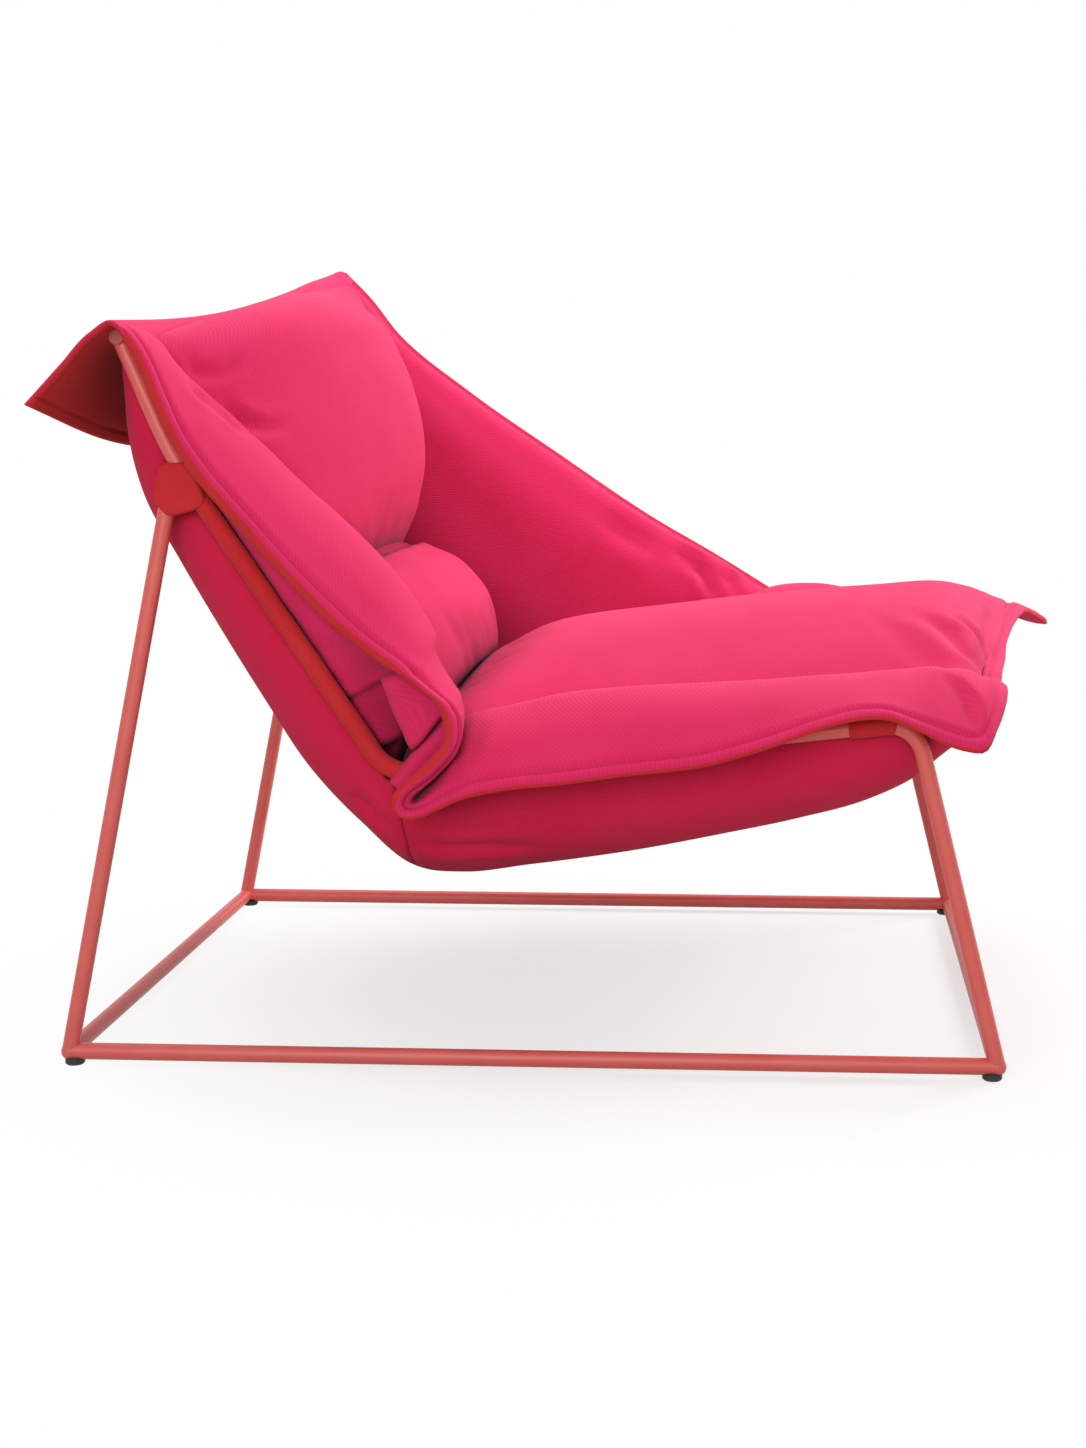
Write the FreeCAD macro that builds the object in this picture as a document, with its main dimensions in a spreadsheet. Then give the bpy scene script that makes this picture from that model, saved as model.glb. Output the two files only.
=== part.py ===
"""Sling lounge chair: a welded tube frame on a sled base, with a padded cloth seat hung between its sides.

Millimetres. +X is the way a sitter faces, +Y is the sitter's left and +Z is up.
The origin is on the floor, under the middle of the chair's outer box.
"""
import FreeCAD, Part
import math
import os

import Sketcher
from FreeCAD import Placement, Rotation, Vector

doc = FreeCAD.newDocument("sling_chair")
sheet = doc.addObject("Spreadsheet::Sheet", "sizes")
nodes = {}

# Driving dimensions. The forward ones are measured from the rear base corners, the heights from the floor.
DRIVING = {
    "tube_diameter": 16,
    "tube_wall": 1.5,
    "weld_ball_radius": 8.6,
    "base_length": 900,
    "base_width": 700,
    "base_height": 12.5,
    "rear_corner_x": -498,
    "top_forward": 53,
    "top_height": 709,
    "joint_forward": 107,
    "joint_height": 588,
    "corner_forward": 315,
    "corner_height": 286,
    "front_forward": 821.5,
    "front_height": 341,
    "joint_bend": 450,
    "corner_bend": 45,
    "front_bend": 34,
    "bar_overhang": 8,
    "front_bar_forward": 740,
    "cap_thickness": 2.5,
    "cap_plug": 12,
    "glide_radius": 9.5,
    "glide_height": 7.5,
    "glide_inset": 5,
    "screw_radius": 1.9,
    "screw_head_radius": 3.6,
    "screw_length": 9,
    "cloth_wall": 1.2,
    "cloth_gap": 0.15,
    "sling_thickness": 3,
    "sling_inset": 12,
    "cushion_gap": 3,
    "hem_thickness": 9,
    "patch_thickness": 22,
    "flap_thickness": 9,
}
for row, (alias, number) in enumerate(DRIVING.items(), start=1):
    sheet.set(f"A{row}", alias)
    sheet.set(f"B{row}", str(number))
    sheet.setAlias(f"B{row}", alias)
doc.recompute()


def size(alias):
    return float(sheet.get(alias))


HALF_WIDTH = size("base_width") / 2
SIDES = {"right": -1, "left": 1}


def place(forward, across, height):
    """A point of the chair from its distance ahead of the rear base corners."""
    return Vector(size("rear_corner_x") + forward, across, height)


# The side frame's corners, as forward distance and height.
REAR_FOOT = (0, size("base_height"))
FRONT_FOOT = (size("base_length"), size("base_height"))
FRONT = (size("front_forward"), size("front_height"))
CORNER = (size("corner_forward"), size("corner_height"))
JOINT = (size("joint_forward"), size("joint_height"))
TOP = (size("top_forward"), size("top_height"))


def side_point(corner, side):
    return place(corner[0], SIDES[side] * HALF_WIDTH, corner[1])


# Small builders for tubes, balls and cuts
def rod(name, start, end, radius, length=None):
    """A solid cylinder from start towards end, with its radius and length bound to the sheet."""
    cylinder = doc.addObject("Part::Cylinder", name)
    cylinder.setExpression("Radius", radius)
    if length is None:
        cylinder.Height = (end - start).Length
    else:
        cylinder.setExpression("Height", length)
    cylinder.Placement = Placement(start, Rotation(Vector(0, 0, 1), end - start))
    return cylinder


def ball(name, centre):
    sphere = doc.addObject("Part::Sphere", name)
    sphere.setExpression("Radius", "sizes.weld_ball_radius")
    sphere.Placement = Placement(centre, Rotation())
    return sphere


def joined(name, pieces):
    fuse = doc.addObject("Part::MultiFuse", name)
    fuse.Shapes = pieces
    return fuse


def cut(name, base, tools):
    result = doc.addObject("Part::Cut", name)
    result.Base = base
    result.Tool = tools[0] if len(tools) == 1 else joined(name + "_tools", tools)
    return result


def node(name, piece):
    piece.Label = name
    nodes[name] = piece
    return piece


def hollow_tube(name, start, end, length=None):
    outer = rod(name + "_outer", start, end, OUTSIDE, length)
    bore = rod(name + "_bore", start, end, INSIDE, length)
    return cut(name + "_tube", outer, [bore])


OUTSIDE = "sizes.tube_diameter / 2"
INSIDE = "sizes.tube_diameter / 2 - sizes.tube_wall"
LOOSE = "sizes.tube_diameter / 2 + sizes.cloth_gap"
BASE_LENGTH = "sizes.base_length"
POST_LENGTH = "sqrt(sizes.joint_forward ^ 2 + (sizes.joint_height - sizes.base_height) ^ 2)"


# Full round shapes of the tubes, used to cope the ends of the tubes that meet them
def round_tools(side):
    corner = {name: side_point(spot, side) for name, spot in FRAME_CORNERS.items()}
    return {
        "rear_ball": ball(side + "_rear_ball", corner["rear_foot"]),
        "front_ball": ball(side + "_front_ball", corner["front_foot"]),
        "post": rod(side + "_post_round", corner["rear_foot"], corner["joint"], OUTSIDE, POST_LENGTH),
        "leg": rod(side + "_leg_round", corner["front_foot"], corner["front"], OUTSIDE),
        "rail": rod(side + "_rail_round", corner["rear_foot"], corner["front_foot"], OUTSIDE, BASE_LENGTH),
        "upper": rod(side + "_upper_round", corner["top"], corner["joint"], LOOSE),
        "back": rod(side + "_back_round", corner["joint"], corner["corner"], LOOSE),
        "seat": rod(side + "_seat_round", corner["corner"], corner["front"], LOOSE),
        "loose_post": rod(side + "_loose_post", corner["rear_foot"], corner["joint"], LOOSE, POST_LENGTH),
    }


FRAME_CORNERS = {
    "rear_foot": REAR_FOOT,
    "front_foot": FRONT_FOOT,
    "front": FRONT,
    "corner": CORNER,
    "joint": JOINT,
    "top": TOP,
}
TOOLS = {side: round_tools(side) for side in SIDES}


# Feet and their screws
def glide_spot(side, end):
    inset = size("glide_inset")
    forward = inset if end == "rear" else size("base_length") - inset
    return place(forward, SIDES[side] * HALF_WIDTH, 0)


def revolved_body(name, outline, spot, spin=Rotation()):
    """A body turned about its own Z axis from an outline of (radius, height) points."""
    body = doc.addObject("PartDesign::Body", name)
    plane = next(f for f in body.Origin.OriginFeatures if f.Role == "XZ_Plane")
    sketch = body.newObject("Sketcher::SketchObject", name + "_outline")
    sketch.AttachmentSupport = [(plane, "")]
    sketch.MapMode = "FlatFace"
    count = len(outline)
    for index in range(count):
        start = Vector(outline[index][0], outline[index][1], 0)
        end = Vector(outline[(index + 1) % count][0], outline[(index + 1) % count][1], 0)
        sketch.addGeometry(Part.LineSegment(start, end), False)
    for index in range(count):
        sketch.addConstraint(Sketcher.Constraint("Coincident", index, 2, (index + 1) % count, 1))
    for index, (radius, height) in enumerate(outline):
        sketch.addConstraint(Sketcher.Constraint("DistanceX", -1, 1, index, 1, radius))
        sketch.addConstraint(Sketcher.Constraint("DistanceY", -1, 1, index, 1, height))
    turn = body.newObject("PartDesign::Revolution", name + "_turn")
    turn.Profile = sketch
    turn.ReferenceAxis = (sketch, ["V_Axis"])
    turn.Angle = 360
    body.Placement = Placement(spot, spin)
    return body, sketch


def bind_point(sketch, point, radius=None, height=None):
    """Ties one outline point's radius or height to the sheet. The constraints follow the coincident ones."""
    first = sketch.GeometryCount + 2 * point
    if radius:
        sketch.setExpression(f"Constraints[{first}]", radius)
    if height:
        sketch.setExpression(f"Constraints[{first + 1}]", height)


def foot_screw(name, spot):
    """A countersunk screw from below: flat head, cone and shank."""
    head = size("screw_head_radius")
    shank = size("screw_radius")
    top = size("screw_length")
    sunk = 0.8
    outline = [(0, sunk), (head, sunk), (shank, sunk + head - shank), (shank, top), (0, top)]
    body, sketch = revolved_body(name, outline, spot)
    bind_point(sketch, 1, radius="sizes.screw_head_radius")
    bind_point(sketch, 2, radius="sizes.screw_radius")
    bind_point(sketch, 3, radius="sizes.screw_radius", height="sizes.screw_length")
    bind_point(sketch, 4, height="sizes.screw_length")
    return body


def foot_glide(name, spot, tools):
    """A round pad with rounded edges, hollowed to sit under the tube and bored for its screw."""
    radius = size("glide_radius")
    height = size("glide_height")
    hole = size("screw_radius") + 0.1
    sunk = size("screw_head_radius") + 0.3
    outline = [
        (sunk, 0),
        (radius - 1.5, 0),
        (radius, 1.5),
        (radius, height - 2),
        (radius - 2, height),
        (hole, height),
        (hole, 0.9 + sunk - hole),
        (sunk, 0.9),
    ]
    body, sketch = revolved_body(name + "_pad", outline, spot)
    bind_point(sketch, 1, radius="sizes.glide_radius - 1.5")
    bind_point(sketch, 2, radius="sizes.glide_radius")
    bind_point(sketch, 3, radius="sizes.glide_radius", height="sizes.glide_height - 2")
    bind_point(sketch, 4, radius="sizes.glide_radius - 2", height="sizes.glide_height")
    bind_point(sketch, 5, radius="sizes.screw_radius + 0.1", height="sizes.glide_height")
    return node(name, cut(name, body, tools))


def screw_hole(name, spot):
    return rod(name, spot, spot + Vector(0, 0, 12), "sizes.screw_radius + 0.1")


def bars_round(end):
    """The full round of the cross bar at the front or rear of the base."""
    corner = FRONT_FOOT if end == "front" else REAR_FOOT
    start = side_point(corner, "right")
    return rod(end + "_bar_round", start, side_point(corner, "left"), OUTSIDE, "sizes.base_width")


BAR_ROUNDS = {end: bars_round(end) for end in ("front", "rear")}
screws = []
for side in SIDES:
    for end in ("front", "rear"):
        spot = glide_spot(side, end)
        screws.append(foot_screw(f"{side}_{end}_screw", spot))
        upright = TOOLS[side]["leg" if end == "front" else "post"]
        tools = [TOOLS[side]["rail"], TOOLS[side][end + "_ball"], upright, BAR_ROUNDS[end]]
        foot_glide(f"{side}_{end}_glide", spot, tools)
screw_group = doc.addObject("Part::Compound", "foot_screws")
screw_group.Links = screws
node("foot_screws", screw_group)


# Base rails and bars
def bottom_rail(side):
    name = side + "_bottom_rail"
    tube = hollow_tube(name, side_point(REAR_FOOT, side), side_point(FRONT_FOOT, side), BASE_LENGTH)
    holes = [screw_hole(f"{side}_{end}_hole", glide_spot(side, end)) for end in ("front", "rear")]
    ends = [TOOLS[side][key] for key in ("rear_ball", "front_ball", "post", "leg")]
    node(name, cut(name, tube, ends + holes))


def bottom_bar(end):
    name = end + "_bottom_bar"
    corner = FRONT_FOOT if end == "front" else REAR_FOOT
    tube = hollow_tube(name, side_point(corner, "right"), side_point(corner, "left"), "sizes.base_width")
    tools = []
    for side in SIDES:
        upright = "leg" if end == "front" else "post"
        tools += [TOOLS[side][end + "_ball"], TOOLS[side][upright], TOOLS[side]["rail"]]
    node(name, cut(name, tube, tools))


for side in SIDES:
    bottom_rail(side)
for end in ("front", "rear"):
    bottom_bar(end)


# Rear posts, with a dressed weld ball at the foot and a coped top under the back rail
def rear_post(side):
    name = side + "_rear_post"
    tube = hollow_tube(name, side_point(REAR_FOOT, side), side_point(JOINT, side), POST_LENGTH)
    coped = cut(name + "_coped", tube, [TOOLS[side]["upper"], TOOLS[side]["back"]])
    welded = joined(name + "_welded", [coped, ball(name + "_ball", side_point(REAR_FOOT, side))])
    hole = screw_hole(name + "_hole", glide_spot(side, "rear"))
    node(name, cut(name, welded, [hole]))


for side in SIDES:
    rear_post(side)


# Side rails: front leg, seat rail and back rail bent from one tube
def rail_path(body):
    """The bent centre line as a sketch: straight runs, with a tangent arc at each inner corner."""
    plane = next(f for f in body.Origin.OriginFeatures if f.Role == "XZ_Plane")
    sketch = body.newObject("Sketcher::SketchObject", body.Name + "_path")
    sketch.AttachmentSupport = [(plane, "")]
    sketch.MapMode = "FlatFace"
    spots = [Vector(x, z, 0) for x, z in (FRONT_FOOT, FRONT, CORNER, JOINT, TOP)]
    bends = [size("front_bend"), size("corner_bend"), size("joint_bend")]
    trims = []
    for before, spot, after, bend in zip(spots, spots[1:], spots[2:], bends):
        turn = (spot - before).getAngle(after - spot)
        trims.append(bend * math.tan(turn / 2))
    starts = [spots[0]]
    ends = []
    for index, trim in enumerate(trims, start=1):
        back = (spots[index - 1] - spots[index]).normalize()
        ahead = (spots[index + 1] - spots[index]).normalize()
        ends.append(spots[index] + back * trim)
        starts.append(spots[index] + ahead * trim)
    ends.append(spots[-1])
    for start, end in zip(starts, ends):
        sketch.addGeometry(Part.LineSegment(start, end), False)
    for index, bend in enumerate(bends):
        into, out = ends[index], starts[index + 1]
        spot = spots[index + 1]
        middle = (into + out) * 0.5 - spot
        reach = math.hypot(bend, trims[index])
        near = spot + middle.normalize() * (reach - bend)
        left_turn = (spot - into).cross(out - spot).z > 0
        first, last = (into, out) if left_turn else (out, into)
        sketch.addGeometry(Part.Arc(first, near, last), False)
    for index in range(3):
        arc = 4 + index
        geometry = sketch.Geometry[arc]
        first = 1 if (geometry.StartPoint - ends[index]).Length < 0.01 else 2
        sketch.addConstraint(Sketcher.Constraint("Tangent", index, 2, arc, first))
        sketch.addConstraint(Sketcher.Constraint("Tangent", arc, 3 - first, index + 1, 1))
        alias = ("front_bend", "corner_bend", "joint_bend")[index]
        radius = sketch.addConstraint(Sketcher.Constraint("Radius", arc, bends[index]))
        sketch.setExpression(f"Constraints[{radius}]", "sizes." + alias)
        corner = sketch.addGeometry(Part.Point(spots[index + 1]), True)
        sketch.addConstraint(Sketcher.Constraint("PointOnObject", corner, 1, index))
        sketch.addConstraint(Sketcher.Constraint("PointOnObject", corner, 1, index + 1))
        name = ("front", "corner", "joint")[index]
        pin_point(sketch, corner, 1, spots[index + 1], name)
    pin_point(sketch, 0, 1, spots[0], "foot")
    pin_point(sketch, 3, 2, spots[-1], "top")
    return sketch


def pin_point(sketch, geometry, end, spot, name):
    """Holds a sketch point at one of the side frame's named corners."""
    aliases = {"foot": ("base_length", "base_height")}
    forward, height = aliases.get(name, (name + "_forward", name + "_height"))
    across = sketch.addConstraint(Sketcher.Constraint("DistanceX", -1, 1, geometry, end, spot.x))
    up = sketch.addConstraint(Sketcher.Constraint("DistanceY", -1, 1, geometry, end, spot.y))
    sketch.setExpression(f"Constraints[{across}]", "sizes." + forward)
    sketch.setExpression(f"Constraints[{up}]", "sizes." + height)


def rail_ring(body):
    """The tube's section at the foot of the leg, square to it."""
    plane = next(f for f in body.Origin.OriginFeatures if f.Role == "XY_Plane")
    ring = body.newObject("Sketcher::SketchObject", body.Name + "_ring")
    ring.AttachmentSupport = [(plane, "")]
    ring.MapMode = "FlatFace"
    lean = math.degrees(math.atan2(FRONT[0] - FRONT_FOOT[0], FRONT[1] - FRONT_FOOT[1]))
    foot = Vector(FRONT_FOOT[0], 0, FRONT_FOOT[1])
    ring.AttachmentOffset = Placement(foot, Rotation(Vector(0, 1, 0), lean))
    outside = size("tube_diameter") / 2
    for index, radius in enumerate((outside, outside - size("tube_wall"))):
        ring.addGeometry(Part.Circle(Vector(0, 0, 0), Vector(0, 0, 1), radius), False)
        ring.addConstraint(Sketcher.Constraint("Coincident", index, 3, -1, 1))
        held = ring.addConstraint(Sketcher.Constraint("Radius", index, radius))
        ring.setExpression(f"Constraints[{held}]", (OUTSIDE, INSIDE)[index])
    return ring


def side_rail(side):
    name = side + "_side_rail"
    body = doc.addObject("PartDesign::Body", name + "_bent")
    path = rail_path(body)
    ring = rail_ring(body)
    doc.recompute()
    pipe = body.newObject("PartDesign::AdditivePipe", name + "_pipe")
    pipe.Profile = ring
    pipe.Spine = (path, [f"Edge{number}" for number in range(1, 8)])
    body.Placement = Placement(place(0, SIDES[side] * HALF_WIDTH, 0), Rotation())
    bar = rod(name + "_top_cope", top_bar_end("right"), top_bar_end("left"), OUTSIDE)
    coped = cut(name + "_coped", body, [bar])
    welded = joined(name + "_welded", [coped, ball(name + "_ball", side_point(FRONT_FOOT, side))])
    hole = screw_hole(name + "_hole", glide_spot(side, "front"))
    node(name, cut(name, welded, [hole]))


def top_bar_end(side):
    reach = HALF_WIDTH + size("bar_overhang")
    return place(TOP[0], SIDES[side] * reach, TOP[1])


for side in SIDES:
    side_rail(side)


# Cross bars above the base, and the top bar's end caps
def bar_cap(side):
    name = side + "_bar_cap"
    plug = size("tube_diameter") / 2 - size("tube_wall")
    rim = size("tube_diameter") / 2
    lid = size("cap_thickness")
    outline = [(0, 0), (rim, 0), (rim, lid - 1), (rim - 1, lid), (0, lid)]
    depth = -size("cap_plug")
    outline = [(0, depth), (plug, depth), (plug, 0)] + outline[1:]
    spin = Rotation(Vector(0, 0, 1), Vector(0, SIDES[side], 0))
    body, sketch = revolved_body(name, outline, top_bar_end(side), spin)
    bind_point(sketch, 1, radius=INSIDE, height="-sizes.cap_plug")
    bind_point(sketch, 2, radius=INSIDE)
    bind_point(sketch, 3, radius=OUTSIDE)
    bind_point(sketch, 4, radius=OUTSIDE, height="sizes.cap_thickness - 1")
    node(name, body)


top_length = "sizes.base_width + 2 * sizes.bar_overhang"
node("top_bar", hollow_tube("top_bar", top_bar_end("right"), top_bar_end("left"), top_length))
for side in SIDES:
    bar_cap(side)

seat_slope = (FRONT[1] - CORNER[1]) / (FRONT[0] - CORNER[0])
bar_forward = size("front_bar_forward")
bar_height = CORNER[1] + seat_slope * (bar_forward - CORNER[0])
bar_start = place(bar_forward, -HALF_WIDTH, bar_height)
bar_stop = place(bar_forward, HALF_WIDTH, bar_height)
front_bar = hollow_tube("seat_front_bar", bar_start, bar_stop, "sizes.base_width")
seat_rounds = [TOOLS[side]["seat"] for side in SIDES]
node("seat_front_bar", cut("seat_front_bar", front_bar, seat_rounds))


# Frames along the side rails: an origin, the way along the run, and the way out of the cushion's face
class Run:
    def __init__(self, start, end, along=None):
        self.origin = Vector(start[0], 0, start[1])
        self.along = along or Vector(end[0] - start[0], 0, end[1] - start[1]).normalize()
        self.over = Vector(-self.along.z, 0, self.along.x)

    def at(self, along, across, over):
        spot = self.origin + self.along * along + self.over * over
        return place(spot.x, across, spot.z)


UPPER = Run(TOP, JOINT)
BACK = Run(JOINT, CORNER)
SEAT = Run(CORNER, FRONT)
BEND = Run(CORNER, CORNER, (BACK.along + SEAT.along).normalize())


# Cloth sleeves on the rails, and the patches over the welded joints
def sleeve(name, run, side, start, stop):
    across = SIDES[side] * HALF_WIDTH
    first = run.at(start, across, 0)
    last = run.at(stop, across, 0)
    outer = rod(name + "_outer", first, last, LOOSE + " + sizes.cloth_wall")
    inner = rod(name + "_inner", first, last, LOOSE)
    node(name, cut(name, outer, [inner]))


for side in SIDES:
    sleeve(side + "_back_sleeve", BACK, side, 62, 336)
    sleeve(side + "_seat_sleeve", SEAT, side, 32, 285)
    sleeve(side + "_front_sleeve", SEAT, side, 446, 477)


def joint_patch(side):
    """A sewn cloth pocket round the joint of post and rail, with rounded edges."""
    name = side + "_joint_patch"
    body = doc.addObject("PartDesign::Body", name + "_pocket")
    plane = next(f for f in body.Origin.OriginFeatures if f.Role == "XZ_Plane")
    sketch = body.newObject("Sketcher::SketchObject", name + "_outline")
    sketch.AttachmentSupport = [(plane, "")]
    sketch.MapMode = "FlatFace"
    outline = [(-13, 0), (17, 1), (36, -42), (-5, -54), (-20, -38)]
    spots = [Vector(JOINT[0] + x, JOINT[1] + z, 0) for x, z in outline]
    for index, spot in enumerate(spots):
        sketch.addGeometry(Part.LineSegment(spot, spots[(index + 1) % len(spots)]), False)
    for index in range(len(spots)):
        sketch.addConstraint(Sketcher.Constraint("Coincident", index, 2, (index + 1) % len(spots), 1))
    for index, (x, z) in enumerate(outline):
        right = sketch.addConstraint(Sketcher.Constraint("DistanceX", -1, 1, index, 1, spots[index].x))
        up = sketch.addConstraint(Sketcher.Constraint("DistanceY", -1, 1, index, 1, spots[index].y))
        sketch.setExpression(f"Constraints[{right}]", f"sizes.joint_forward + ({x})")
        sketch.setExpression(f"Constraints[{up}]", f"sizes.joint_height + ({z})")
    pad = body.newObject("PartDesign::Pad", name + "_pad")
    pad.Profile = sketch
    pad.Midplane = True
    pad.setExpression("Length", "sizes.patch_thickness")
    doc.recompute()
    fillet = body.newObject("PartDesign::Fillet", name + "_rounded")
    fillet.Base = (pad, ["Face6", "Face7"])
    fillet.Radius = 4
    body.Placement = Placement(place(0, SIDES[side] * HALF_WIDTH, 0), Rotation())
    across = SIDES[side] * HALF_WIDTH
    rail_room = rod(name + "_rail_room", BACK.at(-40, across, 0), BACK.at(110, across, 0), OUTSIDE + " + 1.95")
    node(name, cut(name, body, [rail_room, TOOLS[side]["loose_post"]]))


for side in SIDES:
    joint_patch(side)


# Soft goods: lofts through sections of lines and arcs
def wire(run, along, skew, outline):
    """A closed section square to a run. Each step is an end point, or a via point and an end point."""
    def spot(point):
        across, over = point
        return run.at(along + skew * across, across, over)

    first = spot(outline[0][-1])
    last = first
    edges = []
    for step in outline[1:]:
        end = spot(step[-1])
        if len(step) == 1:
            edges.append(Part.makeLine(last, end))
        else:
            edges.append(Part.Arc(last, spot(step[0]), end).toShape())
        last = end
    return Part.Wire(edges)


def loft(name, wires, removed=()):
    """A smooth solid through the sections, less the pieces it has to stay clear of."""
    shape = Part.makeLoft(wires, True, False)
    for piece in removed:
        shape = shape.cut(piece)
    shape = max(shape.Solids, key=lambda solid: solid.Volume)
    feature = doc.addObject("Part::Feature", name)
    feature.Shape = shape
    return node(name, feature)


def hull_steps(depth, reach, rim):
    """The flat-bottomed outer shell from the right rail under the cushion to the left rail."""
    return [
        ((-reach, rim),),
        ((-0.955 * reach, 0.62 * (rim - depth)), (-0.74 * reach, -0.93 * depth)),
        ((0, -1.03 * depth), (0.74 * reach, -0.93 * depth)),
        ((0.955 * reach, 0.62 * (rim - depth)), (reach, rim)),
    ]


def reversed_steps(steps):
    """The same outline walked the other way."""
    ends = [step[-1] for step in steps]
    back = [(ends[-1],)]
    for index in range(len(steps) - 1, 0, -1):
        via = steps[index][:-1]
        back.append(via + (ends[index - 1],))
    return back


SLING_REACH = HALF_WIDTH - size("sling_inset")
PAD_REACH = SLING_REACH - size("sling_thickness") - size("cushion_gap")


def sling_section(run, along, depth, skew=0.0):
    thickness = size("sling_thickness")
    outer = hull_steps(depth, SLING_REACH, -10.5)
    inner = reversed_steps(hull_steps(depth - thickness, SLING_REACH - thickness, -10))
    return wire(run, along, skew, outer + [(inner[0][-1],)] + inner[1:] + [(outer[0][-1],)])


def pad_section(run, along, depth, crown, skew=0.0, rim=(0, 0)):
    """A cushion's section: the shell's shape below, one swelling arc above."""
    gap = size("sling_thickness") + size("cushion_gap")
    low = hull_steps(depth - gap, PAD_REACH, 0)
    low[0] = ((-PAD_REACH, rim[0]),)
    low[-1] = low[-1][:-1] + ((PAD_REACH, rim[1]),)
    return wire(run, along, skew, low + [((0, crown), (-PAD_REACH, rim[0]))])


def head_section(along, right_over, left_over, sag, swell, skew):
    """The thin head end of the pillow: a slanting strip that sags and swells a little in the middle."""
    def low(share):
        slope = right_over + (left_over - right_over) * (share + 1) / 2
        return (share * PAD_REACH, slope - (sag + 0.25 * swell) * (1 - share ** 2))

    top = (0, (right_over + left_over) / 2 - sag + swell)
    return wire(UPPER, along, skew, [
        (low(-1),),
        (low(-0.955), low(-0.74)),
        (low(0), low(0.74)),
        (low(0.955), low(1)),
        (top, low(-1)),
    ])


SHELL_HEAD = [(UPPER, 16, 18)]
SHELL_BACK = [(UPPER, 36, 30, -0.03), (UPPER, 78, 52), (BACK, 0, 68), (BACK, 75, 75), (BACK, 155, 80)]
SHELL_LOWER = [(BACK, 155, 80), (BACK, 228, 85), (BACK, 302, 95), (BEND, -0.8, 119)]
SHELL_SEAT = [(BEND, 0.8, 119), (SEAT, 85, 116), (SEAT, 190, 111), (SEAT, 300, 100), (SEAT, 410, 85)]
SHELL_FRONT = [(SEAT, 510, 68), (SEAT, 576, 46, 0.07), (SEAT, 606, 20, 0.11)]

loft("sling_back_panel", [sling_section(*stop) for stop in SHELL_HEAD + SHELL_BACK + SHELL_LOWER[1:]])
loft("sling_seat_panel", [sling_section(*stop) for stop in SHELL_SEAT + SHELL_FRONT])

# The head end of the pillow is thin, and rises from the bar's right end to a standing left corner.
pillow_head = head_section(-14, 18, 108, 10, 8, -0.082)
pillow_crowns = [(170, (8, 68)), (181, (6, 36)), (183, (2, 12)), (158, (0, 0)), (78, (0, 0))]
pillow_wires = [pillow_head]
for stop, (crown, rim) in zip(SHELL_BACK, pillow_crowns):
    skew = stop[3] if len(stop) > 3 else 0.0
    pillow_wires.append(pad_section(*stop[:3], crown, skew, rim))
BAR_ROOM = OUTSIDE + " + 0.5"
top_bar_room = rod("top_bar_room", top_bar_end("right"), top_bar_end("left"), BAR_ROOM, top_length)
front_bar_room = rod("front_bar_room", bar_start, bar_stop, BAR_ROOM, "sizes.base_width")
doc.recompute()
back_pillow = loft("back_pillow", pillow_wires, [top_bar_room.Shape])
lumbar_start = [(BACK, 156.5, 80)] + SHELL_LOWER[1:3] + [(BEND, -3, 119)]
lumbar_roll = loft("lumbar_roll", [
    pad_section(*stop, crown) for stop, crown in zip(lumbar_start, (76, 98, 95, 82))
])
seat_stops = [(BEND, 3, 119)] + SHELL_SEAT[1:]
seat_crowns = (80, 90, 97, 100, 98)
seat_wires = [pad_section(*stop, crown) for stop, crown in zip(seat_stops, seat_crowns)]
seat_wires += [
    pad_section(SEAT, 510, 68, 95),
    pad_section(SEAT, 576, 46, 88, 0.07),
    pad_section(SEAT, 606, 20, 46, 0.11),
]
seat_pad = loft("seat_pad", seat_wires, [front_bar_room.Shape])
CUSHIONS = [back_pillow.Shape, lumbar_roll.Shape, seat_pad.Shape]


def shoulder(run, along, side, inner, crest, edge, skew=0.0):
    """A padded side roll: rises from its inner seam to a crest, then falls to a thin hem past the rail."""
    way = SIDES[side]
    hem = size("hem_thickness")
    low = (way * (HALF_WIDTH + 3), max(crest[1] - 52, 17))
    return wire(run, along, skew, [
        ((way * inner[0], inner[1]),),
        ((way * crest[0], crest[1]), (way * edge[0], edge[1])),
        ((way * edge[0], edge[1] - hem),),
        (low, (way * inner[0], inner[1] - 34)),
        ((way * inner[0], inner[1]),),
    ])


right_wing = loft("right_wing", [
    shoulder(UPPER, 4, "right", (286, 48), (326, 40), (386, 15)),
    shoulder(UPPER, 57, "right", (248, 78), (312, 50), (386, 14)),
    shoulder(BACK, -8, "right", (244, 98), (306, 72), (389, 19)),
    shoulder(BACK, 76, "right", (242, 100), (304, 86), (391, 24)),
    shoulder(BACK, 168, "right", (240, 96), (302, 104), (391, 40)),
    shoulder(BACK, 245, "right", (240, 96), (302, 110), (391, 60)),
    shoulder(BACK, 312, "right", (244, 88), (304, 104), (391, 88)),
], CUSHIONS)


def draped_roll(along, inner, crest, fall, edge, skew=0.0):
    """The right seat roll: rises from its inner seam, passes over the rail and hangs outside it."""
    hem = size("hem_thickness")
    over_rail = (-HALF_WIDTH - 2, fall)
    under_rail = (-HALF_WIDTH - 2, 12.5)
    across, drop = edge[0] - over_rail[0], edge[1] - over_rail[1]
    length = math.hypot(across, drop)
    outward = (drop / length, -across / length)
    hem_end = (edge[0] - hem * outward[0], edge[1] - hem * outward[1])

    def bulged(first, last):
        return tuple((a + b) / 2 + 4 * way for a, b, way in zip(first, last, outward))

    return wire(SEAT, along, skew, [
        (inner,),
        (crest, over_rail),
        (bulged(over_rail, edge), edge),
        (hem_end,),
        (bulged(hem_end, under_rail), under_rail),
        ((inner[0], inner[1] - 34),),
        (inner,),
    ])


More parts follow.
